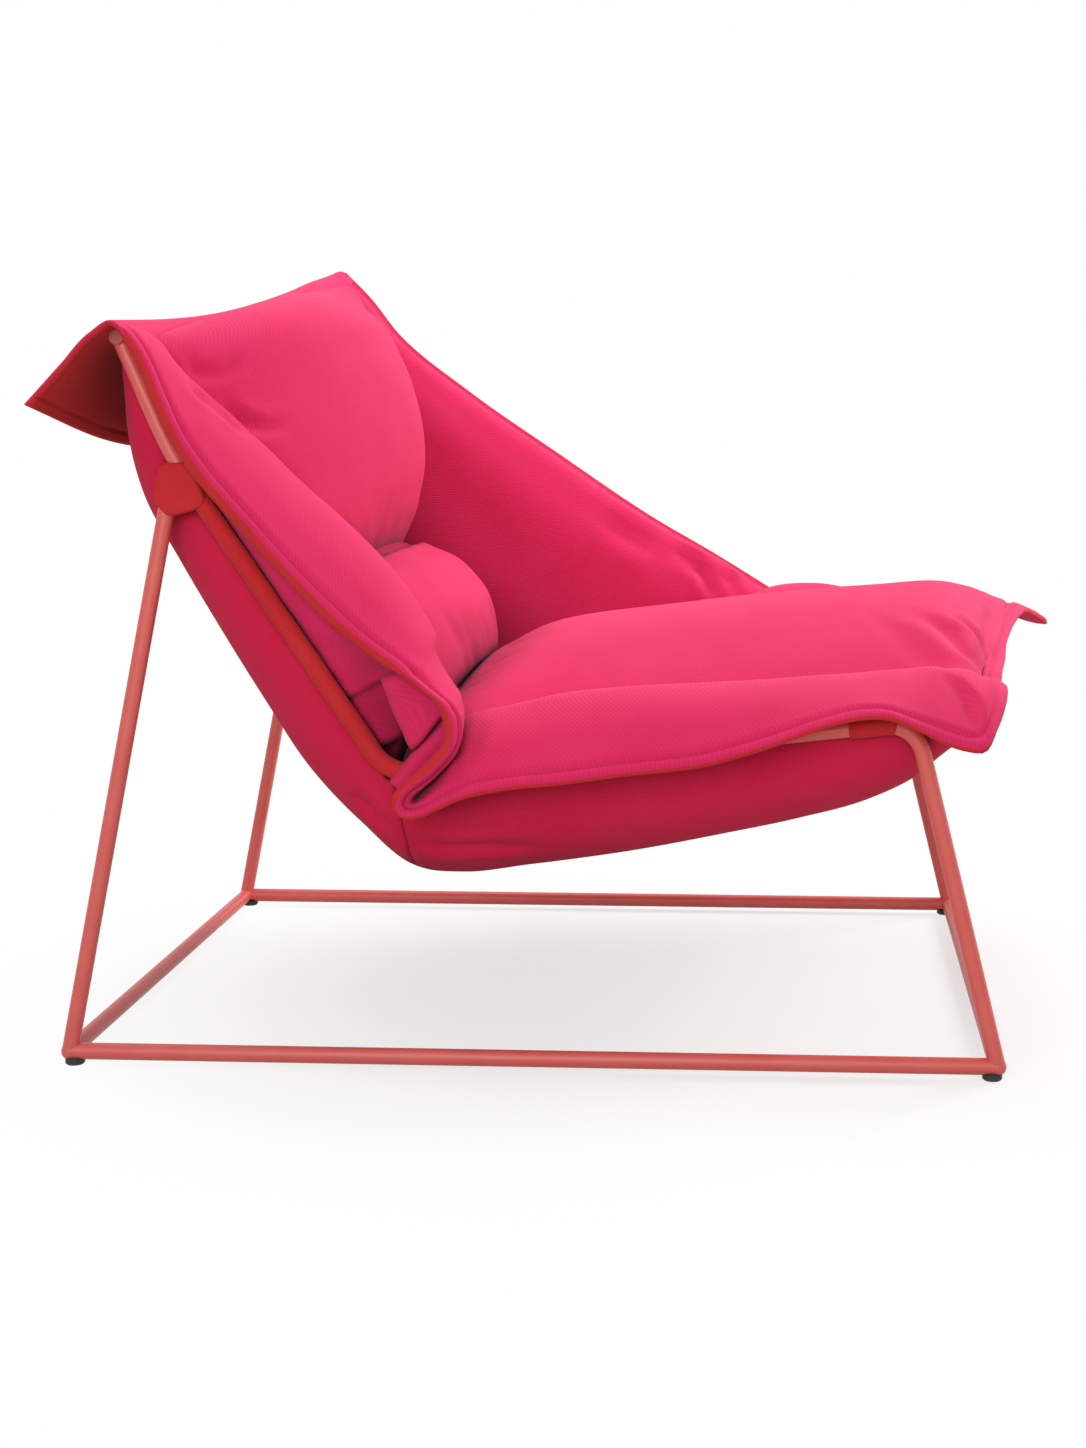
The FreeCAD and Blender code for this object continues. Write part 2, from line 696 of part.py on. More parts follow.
right_bolster = loft("right_bolster", [
    draped_roll(34, (-232, 70), (-292, 58), 26, (-394, -28)),
    draped_roll(92, (-236, 72), (-294, 61), 29, (-395, -14)),
    draped_roll(226, (-236, 76), (-296, 64), 31, (-396, -10)),
    draped_roll(330, (-236, 76), (-296, 62), 30, (-396, -8)),
    draped_roll(450, (-236, 74), (-296, 60), 31, (-396, 14)),
    draped_roll(521, (-236, 70), (-296, 56), 27, (-394, -4)),
    draped_roll(578, (-236, 46), (-296, 40), 23, (-390, -26), 0.02),
], CUSHIONS)
# The spare cloth of the right side is tucked into a fold that runs back and down behind the seat corner.
TUCK = Run((396, 372), (344, 276))


def tuck_section(along, inner, edge):
    """A flattened roll of cloth from its inner end to the hem."""
    hem = size("hem_thickness")
    middle = (inner + edge) / 2
    return wire(TUCK, along, 0, [
        ((-inner, -18),),
        ((-middle, 8), (-edge, 2)),
        ((-edge, 2 - hem),),
        ((-middle, -30), (-inner, -38)),
        ((-inner, -18),),
    ])


right_tuck = [tuck_section(0, 286, 391), tuck_section(45, 290, 394), tuck_section(76, 296, 391)]
loft("right_tuck", right_tuck, CUSHIONS + [right_bolster.Shape, right_wing.Shape])
left_bolster = loft("left_bolster", [
    shoulder(SEAT, 372, "left", (250, 86), (308, 88), (392, 52)),
    shoulder(SEAT, 432, "left", (248, 86), (310, 86), (394, 50)),
    shoulder(SEAT, 520, "left", (248, 76), (312, 66), (394, 34)),
    shoulder(SEAT, 594, "left", (256, 66), (316, 60), (396, 38), 0.1),
    shoulder(SEAT, 634, "left", (300, 46), (344, 44), (398, 28), 0.14),
], CUSHIONS)

# The left wing stands up, with a nearly straight crest from the head to the front of the seat.
CREST = Run((171, 765), (671, 413))


def standing_wing(along, depth, sag, lean):
    """A tall padded wall: hem at the crest, outer face over the rail, inner face swelling to the seat."""
    hem = size("hem_thickness")
    return wire(CREST, along, 0, [
        ((372 + lean, -sag),),
        ((374, -0.5 * depth), (352, 24 - depth)),
        ((252, 34 - depth),),
        ((302, -0.42 * depth), (372 + lean - 2 * hem, -sag + 3)),
        ((372 + lean, -sag),),
    ])


loft("left_wing", [
    standing_wing(-48, 112, -12, -2),
    standing_wing(20, 166, 12, 4),
    standing_wing(155, 204, 19, 8),
    standing_wing(296, 256, 18, 10),
    standing_wing(434, 258, 15, 8),
    standing_wing(537, 178, 6, 4),
    standing_wing(606, 120, 1, 0),
], CUSHIONS)


# Front hem: a thin flat lip along the front of the seat, curling up to the left corner
def front_hem_section(across, along, over, reach, curl):
    thick = size("hem_thickness")
    tip = (along + reach, over + curl)
    spots = [(along, over), tip, (tip[0], tip[1] - thick), (along, over - thick)]
    points = [SEAT.at(a, across, o) for a, o in spots]
    edges = [Part.makeLine(points[i], points[(i + 1) % 4]) for i in range(4)]
    return Part.Wire(edges)


loft("front_hem", [
    front_hem_section(-374, 566, 2, 16, -16),
    front_hem_section(-200, 585, 22, 16, -12),
    front_hem_section(0, 607, 30, 17, -12),
    front_hem_section(180, 628, 34, 24, 0),
    front_hem_section(290, 662, 38, 26, 2),
    front_hem_section(386, 690, 30, 26, -12),
], CUSHIONS + [right_bolster.Shape, left_bolster.Shape])


# Head flap: folded back over the head line, hanging behind the top bar
def flap_section(across, front, peak, shoulder_spot, hang, tip):
    """One upright section: an arc over the fold and an arc down the back, each walked out and back."""
    thick = size("flap_thickness")

    def spot(point, inward=(0, 0)):
        return place(point[0] + inward[0], across, point[1] + inward[1])

    outer_fold = Part.Arc(spot(front), spot(peak), spot(shoulder_spot)).toShape()
    outer_hang = Part.Arc(spot(shoulder_spot), spot(hang), spot(tip)).toShape()
    lean = (0.6 * thick, -0.75 * thick)
    end = Part.makeLine(spot(tip), spot(tip, lean))
    inner_hang = Part.Arc(spot(tip, lean), spot(hang, lean), spot(shoulder_spot, lean)).toShape()
    inside_front = spot(front, (-thick, 0))
    inner_fold = Part.Arc(spot(shoulder_spot, lean), spot(peak, (0, -thick)), inside_front).toShape()
    start = Part.makeLine(inside_front, spot(front))
    return Part.Wire([outer_fold, outer_hang, end, inner_hang, inner_fold, start])


loft("head_flap", [
    flap_section(-386, (69, 718), (56, 730), (34, 716), (6, 684), (-30, 645)),
    flap_section(-200, (87, 728), (70, 739), (38, 721), (4, 668), (-14, 612)),
    flap_section(0, (98, 746), (84, 756), (50, 735), (6, 670), (-22, 600)),
    flap_section(200, (124, 778), (106, 789), (68, 762), (12, 685), (-20, 614)),
    flap_section(372, (144, 808), (127, 818), (84, 790), (22, 706), (-18, 634)),
], CUSHIONS)

doc.recompute()
faulty = [item.Label for item in doc.Objects if "Invalid" in item.State or "Error" in item.State]
for name, piece in nodes.items():
    if piece.Shape.isNull() or not piece.Shape.isValid():
        faulty.append(name)
if faulty:
    raise RuntimeError("these pieces failed: " + ", ".join(sorted(set(faulty))))

os.makedirs("parts", exist_ok=True)
for name, piece in nodes.items():
    piece.Shape.exportStep(os.path.join("parts", name + ".step"))
    print(f"{name}: {len(piece.Shape.Solids)} solids, {piece.Shape.Volume / 1000:.1f} cm3")
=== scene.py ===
"""Sling lounge chair: cloth, coatings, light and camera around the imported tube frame.

Lengths are written in millimetres and turned to metres where a point is placed. Forward distances are
measured from the rear base corners, as on the frame, and +Y is the sitter's left.
"""
import math

import bmesh
import bpy
import numpy as np
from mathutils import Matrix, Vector


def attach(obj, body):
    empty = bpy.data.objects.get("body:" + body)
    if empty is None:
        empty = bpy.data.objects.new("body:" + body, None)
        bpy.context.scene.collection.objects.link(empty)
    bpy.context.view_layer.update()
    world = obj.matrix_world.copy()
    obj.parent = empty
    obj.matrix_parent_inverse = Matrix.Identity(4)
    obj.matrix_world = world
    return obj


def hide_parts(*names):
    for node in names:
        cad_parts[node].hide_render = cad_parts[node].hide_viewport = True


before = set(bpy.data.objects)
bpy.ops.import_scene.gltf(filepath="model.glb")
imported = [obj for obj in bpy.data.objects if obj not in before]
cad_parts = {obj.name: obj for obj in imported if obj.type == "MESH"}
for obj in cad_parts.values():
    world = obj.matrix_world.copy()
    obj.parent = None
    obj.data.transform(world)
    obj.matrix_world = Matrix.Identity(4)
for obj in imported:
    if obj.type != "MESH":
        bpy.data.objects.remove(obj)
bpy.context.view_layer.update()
BODY = "root"

MM = 0.001
REAR_CORNER_X = -498
HALF_WIDTH = 350
TUBE_RADIUS = 8
TOP = (53, 709)
JOINT = (107, 588)
CORNER = (315, 286)
FRONT = (821.5, 341)


def place(forward, across, height):
    return np.array([REAR_CORNER_X + forward, across, height]) * MM


class Run:
    """A straight stretch of the side rail: distance along it, across the chair, and over the rail's line."""

    def __init__(self, start, end):
        self.start = np.array(start, float)
        step = np.array(end, float) - self.start
        self.length = math.hypot(*step)
        self.along = step / self.length
        self.over = np.array([-self.along[1], self.along[0]])

    def at(self, along, across, over):
        forward, height = self.start + along * self.along + over * self.over
        return place(forward, across, height)


UPPER = Run(TOP, JOINT)
BACK = Run(JOINT, CORNER)
SEAT = Run(CORNER, FRONT)
BEND = Run(CORNER, CORNER + BACK.along + SEAT.along)


# Mesh helpers
def unit(vector):
    return vector / np.linalg.norm(vector)


def smooth(rows, count):
    """Rows of points on a smooth line through the given rows, evenly spaced along it."""
    rows = np.asarray(rows, float)
    steps = np.diff(rows, axis=0).reshape(len(rows) - 1, -1, 3)
    gaps = np.linalg.norm(steps, axis=2).mean(axis=1)
    place_on = np.concatenate([[0], np.cumsum(gaps)])
    slopes = np.gradient(rows, place_on, axis=0)
    wanted = np.linspace(0, place_on[-1], count)
    index = np.clip(np.searchsorted(place_on, wanted, side="right") - 1, 0, len(gaps) - 1)
    span = gaps[index]
    t = (wanted - place_on[index]) / span
    shape = (count,) + (1,) * (rows.ndim - 1)
    t = t.reshape(shape)
    span = span.reshape(shape)
    from_weight = 2 * t**3 - 3 * t**2 + 1
    to_weight = 3 * t**2 - 2 * t**3
    leave = span * (t**3 - 2 * t**2 + t)
    arrive = span * (t**3 - t**2)
    return (from_weight * rows[index] + to_weight * rows[index + 1]
            + leave * slopes[index] + arrive * slopes[index + 1])


def even_rows(rings, spacing_mm):
    """Rows about this far apart, on a smooth surface through the sections."""
    rings = np.array(rings)
    length = lengths(rings, 0)[-1].mean()
    return smooth(rings, int(length / (spacing_mm * MM)) + 1)


def lengths(grid, axis):
    """Distance of every point from the grid's first row, or column, along its own line."""
    steps = np.linalg.norm(np.diff(grid, axis=axis), axis=2)
    start = np.zeros_like(np.take(steps, [0], axis=axis))
    return np.cumsum(np.concatenate([start, steps], axis=axis), axis=axis)


def cloth_piece(name, grid, materials, wrap=False, capped=False, second=()):
    """A mesh over a grid of points. Columns named in second take the second material.

    Its weave map holds real distances in metres along the rows and the columns.
    """
    rows, columns = grid.shape[:2]
    closed = np.concatenate([grid, grid[:, :1]], axis=1) if wrap else grid
    weave = np.stack([lengths(closed, 0), lengths(closed, 1)], axis=2)
    faces = []
    spots = []
    slots = []
    for row in range(rows - 1):
        for column in range(closed.shape[1] - 1):
            beside = (column + 1) % columns
            faces.append((row * columns + column, row * columns + beside,
                          (row + 1) * columns + beside, (row + 1) * columns + column))
            spots += [weave[row, column], weave[row, column + 1],
                      weave[row + 1, column + 1], weave[row + 1, column]]
            slots.append(1 if column in second else 0)
    if capped:
        for row in (0, rows - 1):
            ring = [row * columns + column for column in range(columns)]
            faces.append(tuple(ring if row else reversed(ring)))
            spots += [weave[row, 0]] * columns
            slots.append(0)
    mesh = bpy.data.meshes.new(name)
    mesh.from_pydata(grid.reshape(-1, 3).tolist(), [], faces)
    layer = mesh.uv_layers.new(name="weave")
    layer.data.foreach_set("uv", np.array(spots).ravel())
    for material in materials:
        mesh.materials.append(material)
    mesh.polygons.foreach_set("material_index", slots)
    tidy = bmesh.new()
    tidy.from_mesh(mesh)
    bmesh.ops.recalc_face_normals(tidy, faces=tidy.faces)
    tidy.to_mesh(mesh)
    tidy.free()
    mesh.shade_smooth()
    piece = bpy.data.objects.new(name, mesh)
    bpy.context.scene.collection.objects.link(piece)
    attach(piece, BODY)
    return piece


def coordinates(mesh, kind="co"):
    flat = np.empty(len(mesh.vertices) * 3)
    mesh.vertices.foreach_get(kind, flat)
    return flat.reshape(-1, 3)


def crease(piece, spots, depth_mm, width_mm):
    """Presses a soft crease into the cloth along a line, with a low ridge on each side and faded ends.

    The spots are moved to the nearest points of the cloth.
    """
    steps = 40
    shape = coordinates(piece.data)
    out = coordinates(piece.data, "normal")
    line = [shape[np.linalg.norm(shape - spot, axis=1).argmin()] for spot in spots]
    gaps = np.linalg.norm(shape[:, None] - smooth(line, steps)[None], axis=2)
    fade = np.sin(math.pi * (gaps.argmin(axis=1) + 0.5) / steps) ** 0.7
    far = gaps.min(axis=1) / (width_mm * MM)
    profile = 0.4 * np.exp(-(far - 1.8) ** 2) - np.exp(-far ** 2)
    shape += out * (depth_mm * MM * fade * profile)[:, None]
    piece.data.vertices.foreach_set("co", shape.ravel())


def press(piece, creases):
    """Presses each crease of a list: its spots, depth and width in millimetres."""
    for spots, depth_mm, width_mm in creases:
        crease(piece, spots, depth_mm, width_mm)


# Material helpers
def linear(hex_colour):
    """An sRGB hex colour as linear RGBA."""
    parts = [int(hex_colour[i:i + 2], 16) / 255 for i in (1, 3, 5)]
    return [p / 12.92 if p <= 0.04045 else ((p + 0.055) / 1.055) ** 2.4 for p in parts] + [1]


def add(tree, kind, inputs=None, **settings):
    """Adds a node with its settings. An input is a value, or the socket that feeds it."""
    made = tree.nodes.new(kind)
    for name, value in settings.items():
        setattr(made, name, value)
    for name, value in (inputs or {}).items():
        if isinstance(value, bpy.types.NodeSocket):
            tree.links.new(value, made.inputs[name])
        else:
            made.inputs[name].default_value = value
    return made


def new_material(name):
    material = bpy.data.materials.new(name)
    material.use_nodes = True
    tree = material.node_tree
    return material, tree, tree.nodes["Principled BSDF"]


def seen_directly(tree):
    """One for rays from the camera, by reflection or through glass, and nought for rays that only light."""
    rays = add(tree, "ShaderNodeLightPath").outputs
    seen = rays["Is Camera Ray"]
    for kind in ("Is Glossy Ray", "Is Transmission Ray"):
        seen = add(tree, "ShaderNodeMath", {0: seen, 1: rays[kind]}, operation="MAXIMUM").outputs["Value"]
    return seen


def noise_scale(size_mm):
    """Noise texture scale whose patches are about this size, on coordinates in metres."""
    return 1000 / size_mm


def diagonal_scale(size_mm):
    """Wave texture scale for diagonal ribs this far apart, on coordinates in metres."""
    return 2 * math.pi / 10 / (size_mm * MM * math.sqrt(2))


def woven_cloth(name, deep, main, light, rib_mm, sheen_tint, hollow_shade):
    """Dyed twill. Diagonal ribs catch the light, loose fibres give a pale sheen at the edges,
    and the dye is a little uneven. The ribs are drawn coarser than real threads, so that they show.
    Hollows between pieces get painted shade: ambient occlusion darkens the colour there, down to the
    hollow_shade share of the tone.
    """
    material, tree, shader = new_material(name)
    weave = add(tree, "ShaderNodeUVMap", uv_map="weave").outputs["UV"]
    solid = add(tree, "ShaderNodeTexCoord").outputs["Object"]
    ribs = add(tree, "ShaderNodeTexWave", {"Vector": weave, "Scale": diagonal_scale(rib_mm),
               "Distortion": 0.6, "Detail": 1.0, "Detail Scale": 1.5}, bands_direction="DIAGONAL")
    threads = add(tree, "ShaderNodeTexNoise", {"Vector": solid, "Scale": noise_scale(1.6), "Detail": 2.0})
    patches = add(tree, "ShaderNodeTexNoise", {"Vector": solid, "Scale": noise_scale(70), "Detail": 3.0})
    tone = add(tree, "ShaderNodeValToRGB", {"Fac": patches.outputs["Fac"]})
    tone.color_ramp.elements[0].position = 0.25
    tone.color_ramp.elements[0].color = linear(main)
    tone.color_ramp.elements[1].position = 0.8
    tone.color_ramp.elements[1].color = linear(light)
    valley = add(tree, "ShaderNodeMapRange", {"Value": ribs.outputs["Fac"], "To Min": 0.2, "To Max": 0.0})
    ribbed = add(tree, "ShaderNodeMix", {0: valley.outputs["Result"], 6: tone.outputs["Color"],
                 7: linear(deep)}, data_type="RGBA")
    # Painted shade: ambient occlusion darkens the base colour in hollows and between pieces
    openness = add(tree, "ShaderNodeAmbientOcclusion", {"Distance": 0.25}, samples=6)
    painted_hollow_shade = add(tree, "ShaderNodeMapRange", {"Value": openness.outputs["AO"], "From Min": 0.15,
                  "From Max": 0.75, "To Min": hollow_shade, "To Max": 1.0})
    colour = add(tree, "ShaderNodeMix", {0: 1.0, 6: ribbed.outputs[2], 7: painted_hollow_shade.outputs["Result"]},
                 data_type="RGBA", blend_type="MULTIPLY")
    tree.links.new(colour.outputs[2], shader.inputs["Base Color"])
    height = add(tree, "ShaderNodeMath", {0: ribs.outputs["Fac"], 1: threads.outputs["Fac"]}, operation="ADD")
    bump = add(tree, "ShaderNodeBump", {"Height": height.outputs["Value"], "Strength": 0.24,
               "Distance": 0.0005})
    tree.links.new(bump.outputs["Normal"], shader.inputs["Normal"])
    rough = add(tree, "ShaderNodeMapRange", {"Value": threads.outputs["Fac"], "To Min": 0.78, "To Max": 0.95})
    tree.links.new(rough.outputs["Result"], shader.inputs["Roughness"])
    shader.inputs["Specular IOR Level"].default_value = 0.1
    shader.inputs["Sheen Weight"].default_value = 0.15
    shader.inputs["Sheen Roughness"].default_value = 0.6
    shader.inputs["Sheen Tint"].default_value = linear(sheen_tint)
    return material


def powder_coat(name):
    """Coral powder coat baked on steel: satin, with the fine orange-peel skin that the powder leaves."""
    material, tree, shader = new_material(name)
    solid = add(tree, "ShaderNodeTexCoord").outputs["Object"]
    peel = add(tree, "ShaderNodeTexNoise", {"Vector": solid, "Scale": noise_scale(1.2), "Detail": 2.0})
    cloud = add(tree, "ShaderNodeTexNoise", {"Vector": solid, "Scale": noise_scale(45), "Detail": 2.0})
    tone = add(tree, "ShaderNodeValToRGB", {"Fac": cloud.outputs["Fac"]})
    tone.color_ramp.elements[0].position = 0.3
    tone.color_ramp.elements[0].color = linear("#de5e56")
    tone.color_ramp.elements[1].position = 0.75
    tone.color_ramp.elements[1].color = linear("#e36860")
    tree.links.new(tone.outputs["Color"], shader.inputs["Base Color"])
    rough = add(tree, "ShaderNodeMapRange", {"Value": cloud.outputs["Fac"], "To Min": 0.36, "To Max": 0.46})
    tree.links.new(rough.outputs["Result"], shader.inputs["Roughness"])
    bump = add(tree, "ShaderNodeBump", {"Height": peel.outputs["Fac"], "Strength": 0.12, "Distance": 0.0003})
    tree.links.new(bump.outputs["Normal"], shader.inputs["Normal"])
    return material


def moulded_rubber(name, colour, roughness):
    """Moulded rubber or plastic: matte, with a faint grain from the mould."""
    material, tree, shader = new_material(name)
    solid = add(tree, "ShaderNodeTexCoord").outputs["Object"]
    grain = add(tree, "ShaderNodeTexNoise", {"Vector": solid, "Scale": noise_scale(0.9), "Detail": 3.0})
    tone = add(tree, "ShaderNodeValToRGB", {"Fac": grain.outputs["Fac"]})
    tone.color_ramp.elements[0].color = [0.7 * c for c in linear(colour)[:3]] + [1]
    tone.color_ramp.elements[1].color = linear(colour)
    tree.links.new(tone.outputs["Color"], shader.inputs["Base Color"])
    bump = add(tree, "ShaderNodeBump", {"Height": grain.outputs["Fac"], "Strength": 0.2, "Distance": 0.0003})
    tree.links.new(bump.outputs["Normal"], shader.inputs["Normal"])
    shader.inputs["Roughness"].default_value = roughness
    return material


def plated_steel(name):
    """Zinc-plated steel screws: bright, with fine turning marks."""
    material, tree, shader = new_material(name)
    solid = add(tree, "ShaderNodeTexCoord").outputs["Object"]
    marks = add(tree, "ShaderNodeTexNoise", {"Vector": solid, "Scale": noise_scale(0.5), "Detail": 2.0})
    tone = add(tree, "ShaderNodeValToRGB", {"Fac": marks.outputs["Fac"]})
    tone.color_ramp.elements[0].color = linear("#9d9d9a")
    tone.color_ramp.elements[1].color = linear("#c9c9c6")
    tree.links.new(tone.outputs["Color"], shader.inputs["Base Color"])
    shader.inputs["Metallic"].default_value = 1.0
    shader.inputs["Roughness"].default_value = 0.35
    return material


# The last number of each cloth is the share of its tone left in the painted shade of hollows
PINK = woven_cloth("pink_acrylic_twill", "#b81848", "#e0295f", "#e73169", 3.2, "#ffb0cc", 0.2)
SHELL = woven_cloth("crimson_acrylic_canvas", "#ac1436", "#da2048", "#e02850", 3.2, "#ff90a8", 0.2)
RED = woven_cloth("red_cotton_canvas", "#a82428", "#cd2c31", "#d63438", 3.2, "#f0a098", 0.9)
COAT = powder_coat("coral_powder_coat_on_steel")
CAP = moulded_rubber("coral_moulded_polyethylene", "#c04a45", 0.5)
RUBBER = moulded_rubber("black_moulded_rubber", "#262626", 0.6)
STEEL = plated_steel("zinc_plated_steel")


def finish_frame():
    """Gives every frame piece that stays in view its coating."""
    for name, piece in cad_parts.items():
        material = COAT
        if "glide" in name:
            material = RUBBER
        elif "cap" in name:
            material = CAP
        elif "screw" in name:
            material = STEEL
        piece.data.materials.clear()
        piece.data.materials.append(material)


finish_frame()


# Quilted border: closed sections with a stitched hem band, pink above and faced with red below its edge
BAND_DEPTHS = (0, 1.5, 7, 11.5, 13.5, 15.5, 19)
# The band rolls over at the edge, is full in the middle, and sinks at the seam line
BAND_HEIGHTS = (0.3, 1.6, 2.5, 2.1, 0.8, 2.2, 3.8)
# Distance in from the edge, and share of the red strip's width
FACING = ((3, 1.06), (0.8, 0.98), (-0.9, 0.6), (-0.7, 0.25))
TOP_POINTS = 26
INNER_POINTS = 4
UNDER_POINTS = 22
RING_POINTS = len(BAND_DEPTHS) - 1 + TOP_POINTS + INNER_POINTS + UNDER_POINTS + len(FACING)
FACING_COLUMNS = range(RING_POINTS - len(FACING), RING_POINTS)


def border_ring(edge, top, under, facing, depth, hem=1.0):
    """One closed section: hem band, over the top to the inner seam, back below, red facing up to the edge.

    Top runs from the band inwards, under runs back out, facing is the width of the red strip, depth is the
    level direction from the hem into the chair, and hem scales the band's width. The strip turns away from
    the band and a little into depth.
    """
    inward = unit(top[0] - edge)
    flat = unit(inward - depth * (inward @ depth))
    strip_way = unit(0.5 * depth - flat)
    up = unit(-strip_way + inward * (strip_way @ inward))
    band = [edge + (inward * far * hem + up * height) * MM for far, height in zip(BAND_DEPTHS, BAND_HEIGHTS)]
    strip = [edge + (inward * far + strip_way * facing * share) * MM for far, share in FACING]
    behind_strip = edge + (inward * 12 + strip_way * (facing + 3) + depth * 4) * MM
    over = smooth([band[-1], *top], TOP_POINTS)
    below = smooth([*under, behind_strip], UNDER_POINTS)
    inner = [top[-1] + (under[0] - top[-1]) * (i + 1) / (INNER_POINTS + 1) for i in range(INNER_POINTS)]
    return np.array([*band[:-1], *over, *inner, *below, *strip])


TO_LEFT = np.array([0.0, 1.0, 0.0])
BORDER_SPACING_MM = 4
NARROW_FACING = 5


def border(name, rings):
    grid = even_rows(rings, BORDER_SPACING_MM)
    piece = cloth_piece(name, grid, [PINK, RED], wrap=True, capped=True, second=FACING_COLUMNS)
    return piece


# Right wing: it lies over the back rail, from the head corner down to the seat
BACK_HEM_REACH = 389
SHOULDER_INSET = 37
WING_CREST_REACH = 306
WING_SEAM_REACH = 240
SLEEVE_TOP = 9.5
RIGHT_WING = [
    # run, along, hem's reach, then heights over the rail: hem edge, shoulder, crest, inner seam; then the
    # reach of the underside and the facing's width. The first row lies inside the head flap. The last rows
    # also give the reach of the side wall, which is drawn in towards the tuck.
    (UPPER, -11, 376, 8, 9, 8, 5, 348, 2),
    (UPPER, 2, 386, 17, 23, 18, 11, 347, 7),
    (UPPER, 16, 389, 21, 30, 24, 16, 347, 10),
    (UPPER, 42, 389, 23, 36, 31, 24, 347, 11),
    (UPPER, 75, 389, 22, 40, 44, 36, 347, 12),
    (UPPER, 111, 389, 22, 48, 57, 46, 347, 12),
    (BACK, 30, 389, 25, 56, 70, 58, 347, 12),
    (BACK, 74, 389, 30, 64, 79, 64, 347, 12),
    (BACK, 134, 389, 38, 76, 94, 76, 347, 12),
    (BACK, 183, 389, 46, 86, 104, 84, 347, 11),
    (BACK, 225, 389, 55, 94, 109, 86, 346, 10, 354),
    (BACK, 256, 389, 64, 99, 109, 84, 345, 10, 346),
    (BACK, 280, 389, 73, 102, 107, 80, 344, 10, 337),
]


def wing_ring(run, along, reach, edge, shoulder, crest, inner, under, facing, wall=None):
    drawn_in = [run.at(along, -wall, 0.5 * edge)] if wall else []
    return border_ring(
        run.at(along, -reach, edge),
        [run.at(along, SHOULDER_INSET - reach, shoulder), run.at(along, -WING_CREST_REACH, crest),
         run.at(along, -WING_SEAM_REACH, inner)],
        [run.at(along, -WING_SEAM_REACH, min(inner - 20, 14)), run.at(along, -0.9 * under, 11),
         run.at(along, -under, SLEEVE_TOP), *drawn_in],
        facing,
        TO_LEFT,
        hem=0.6,
    )


# Tuck: the wing's end folds under itself at the seat corner, and the hem doubles back to a point
RIGHT_TUCK = [
    # forward and height of: hem edge, shoulder, crest, underside; then the underside's reach and the
    # facing's width. The first rows also give the inner seam, and where along the rail the wing's wall ends
    # behind the fold.
    ((340, 388), (359, 388), (358, 398), (317, 377), 374, 10, (338, -247, 386), 292),
    ((361, 371), (377, 368), (372, 376), (323, 351), 369, 10, (344, -256, 366), 310),
    ((373, 361), (386, 358), (380, 364), (333, 326), 366, 10, (348, -264, 350), 326),
    ((378, 353), (389, 351), (381, 357), (340, 312), 365, 10, (350, -270, 338), 338),
    ((381, 346), (391, 345), (381, 350), (356, 335), 347, 10),
    ((383, 334), (390, 331), (378, 339), (347, 317), 364, 10),
    ((380, 319), (385, 314), (371, 325), (341, 307), 367, 9),
    ((368, 303), (373, 298), (363, 312), (333, 296), 368, 9),
    ((350, 288), (357, 281), (354, 298), (328, 286), 370, 8),
    ((336, 278), (349, 273), (351, 290), (325, 279), 372, 7),
    ((329, 268), (345, 268), (350, 286), (327, 275), 370, 6),
    ((329, 259), (344, 266), (350, 285), (331, 272), 368, 5),
    ((337, 254), (346, 267), (351, 296), (338, 271), 366, 5),
    ((352, 255), (357, 278), (360, 313), (350, 272), 364, 5),
    ((368, 262), (373, 296), (375, 327), (366, 280), 362, 5),
]
TUCK_HEART = (350, -270, 338)
TUCK_HEART_BELOW = (346, -268, 322)


def tuck_ring(edge, shoulder, crest, underside, reach, facing, inner=TUCK_HEART, wall=None):
    below = [place(*TUCK_HEART_BELOW)]
    if wall:
        below += [BACK.at(wall, -340, SLEEVE_TOP), BACK.at(wall, -330, 40)]
    else:
        forward = (TUCK_HEART_BELOW[0] + underside[0]) / 2
        height = (TUCK_HEART_BELOW[2] + underside[1]) / 2
        below += [place(forward, -318, height + 2)]
    return border_ring(
        place(edge[0], -BACK_HEM_REACH - 2, edge[1]),
        [place(shoulder[0], -372, shoulder[1]), place(crest[0], -324, crest[1]), place(*inner)],
        [*below, place(underside[0], -reach, underside[1])],
        facing,
        TO_LEFT,
        hem=0.7,
    )


# Right seat roll: it hangs over the seat rail
SEAT_HEM_REACH = 395
RIGHT_SEAT = [
    # along, then heights over the rail: hem edge, shoulder, crest, inner seam
    (74, -21, 22, 44, 42),
    (118, -16, 28, 47, 44),
    (164, -16, 31, 54, 46),
    (230, -14, 33, 55, 44),
    (310, -12, 31, 51, 42),
    (370, -1, 31, 48, 40),
    (427, 13, 34, 47, 38),
    (460, 17, 35, 46, 36),
    (484, 14, 33, 46, 35),
    (510, 1, 29, 45, 34),
]


def seat_ring(along, edge, shoulder, crest, inner):
    return border_ring(
        SEAT.at(along, -SEAT_HEM_REACH, edge),
        [SEAT.at(along, -358, shoulder), SEAT.at(along, -298, crest), SEAT.at(along, -238, inner)],
        [SEAT.at(along, -238, 14), SEAT.at(along, -300, 13), SEAT.at(along, -354, 12.5)],
        NARROW_FACING,
        TO_LEFT,
        hem=0.75,
    )


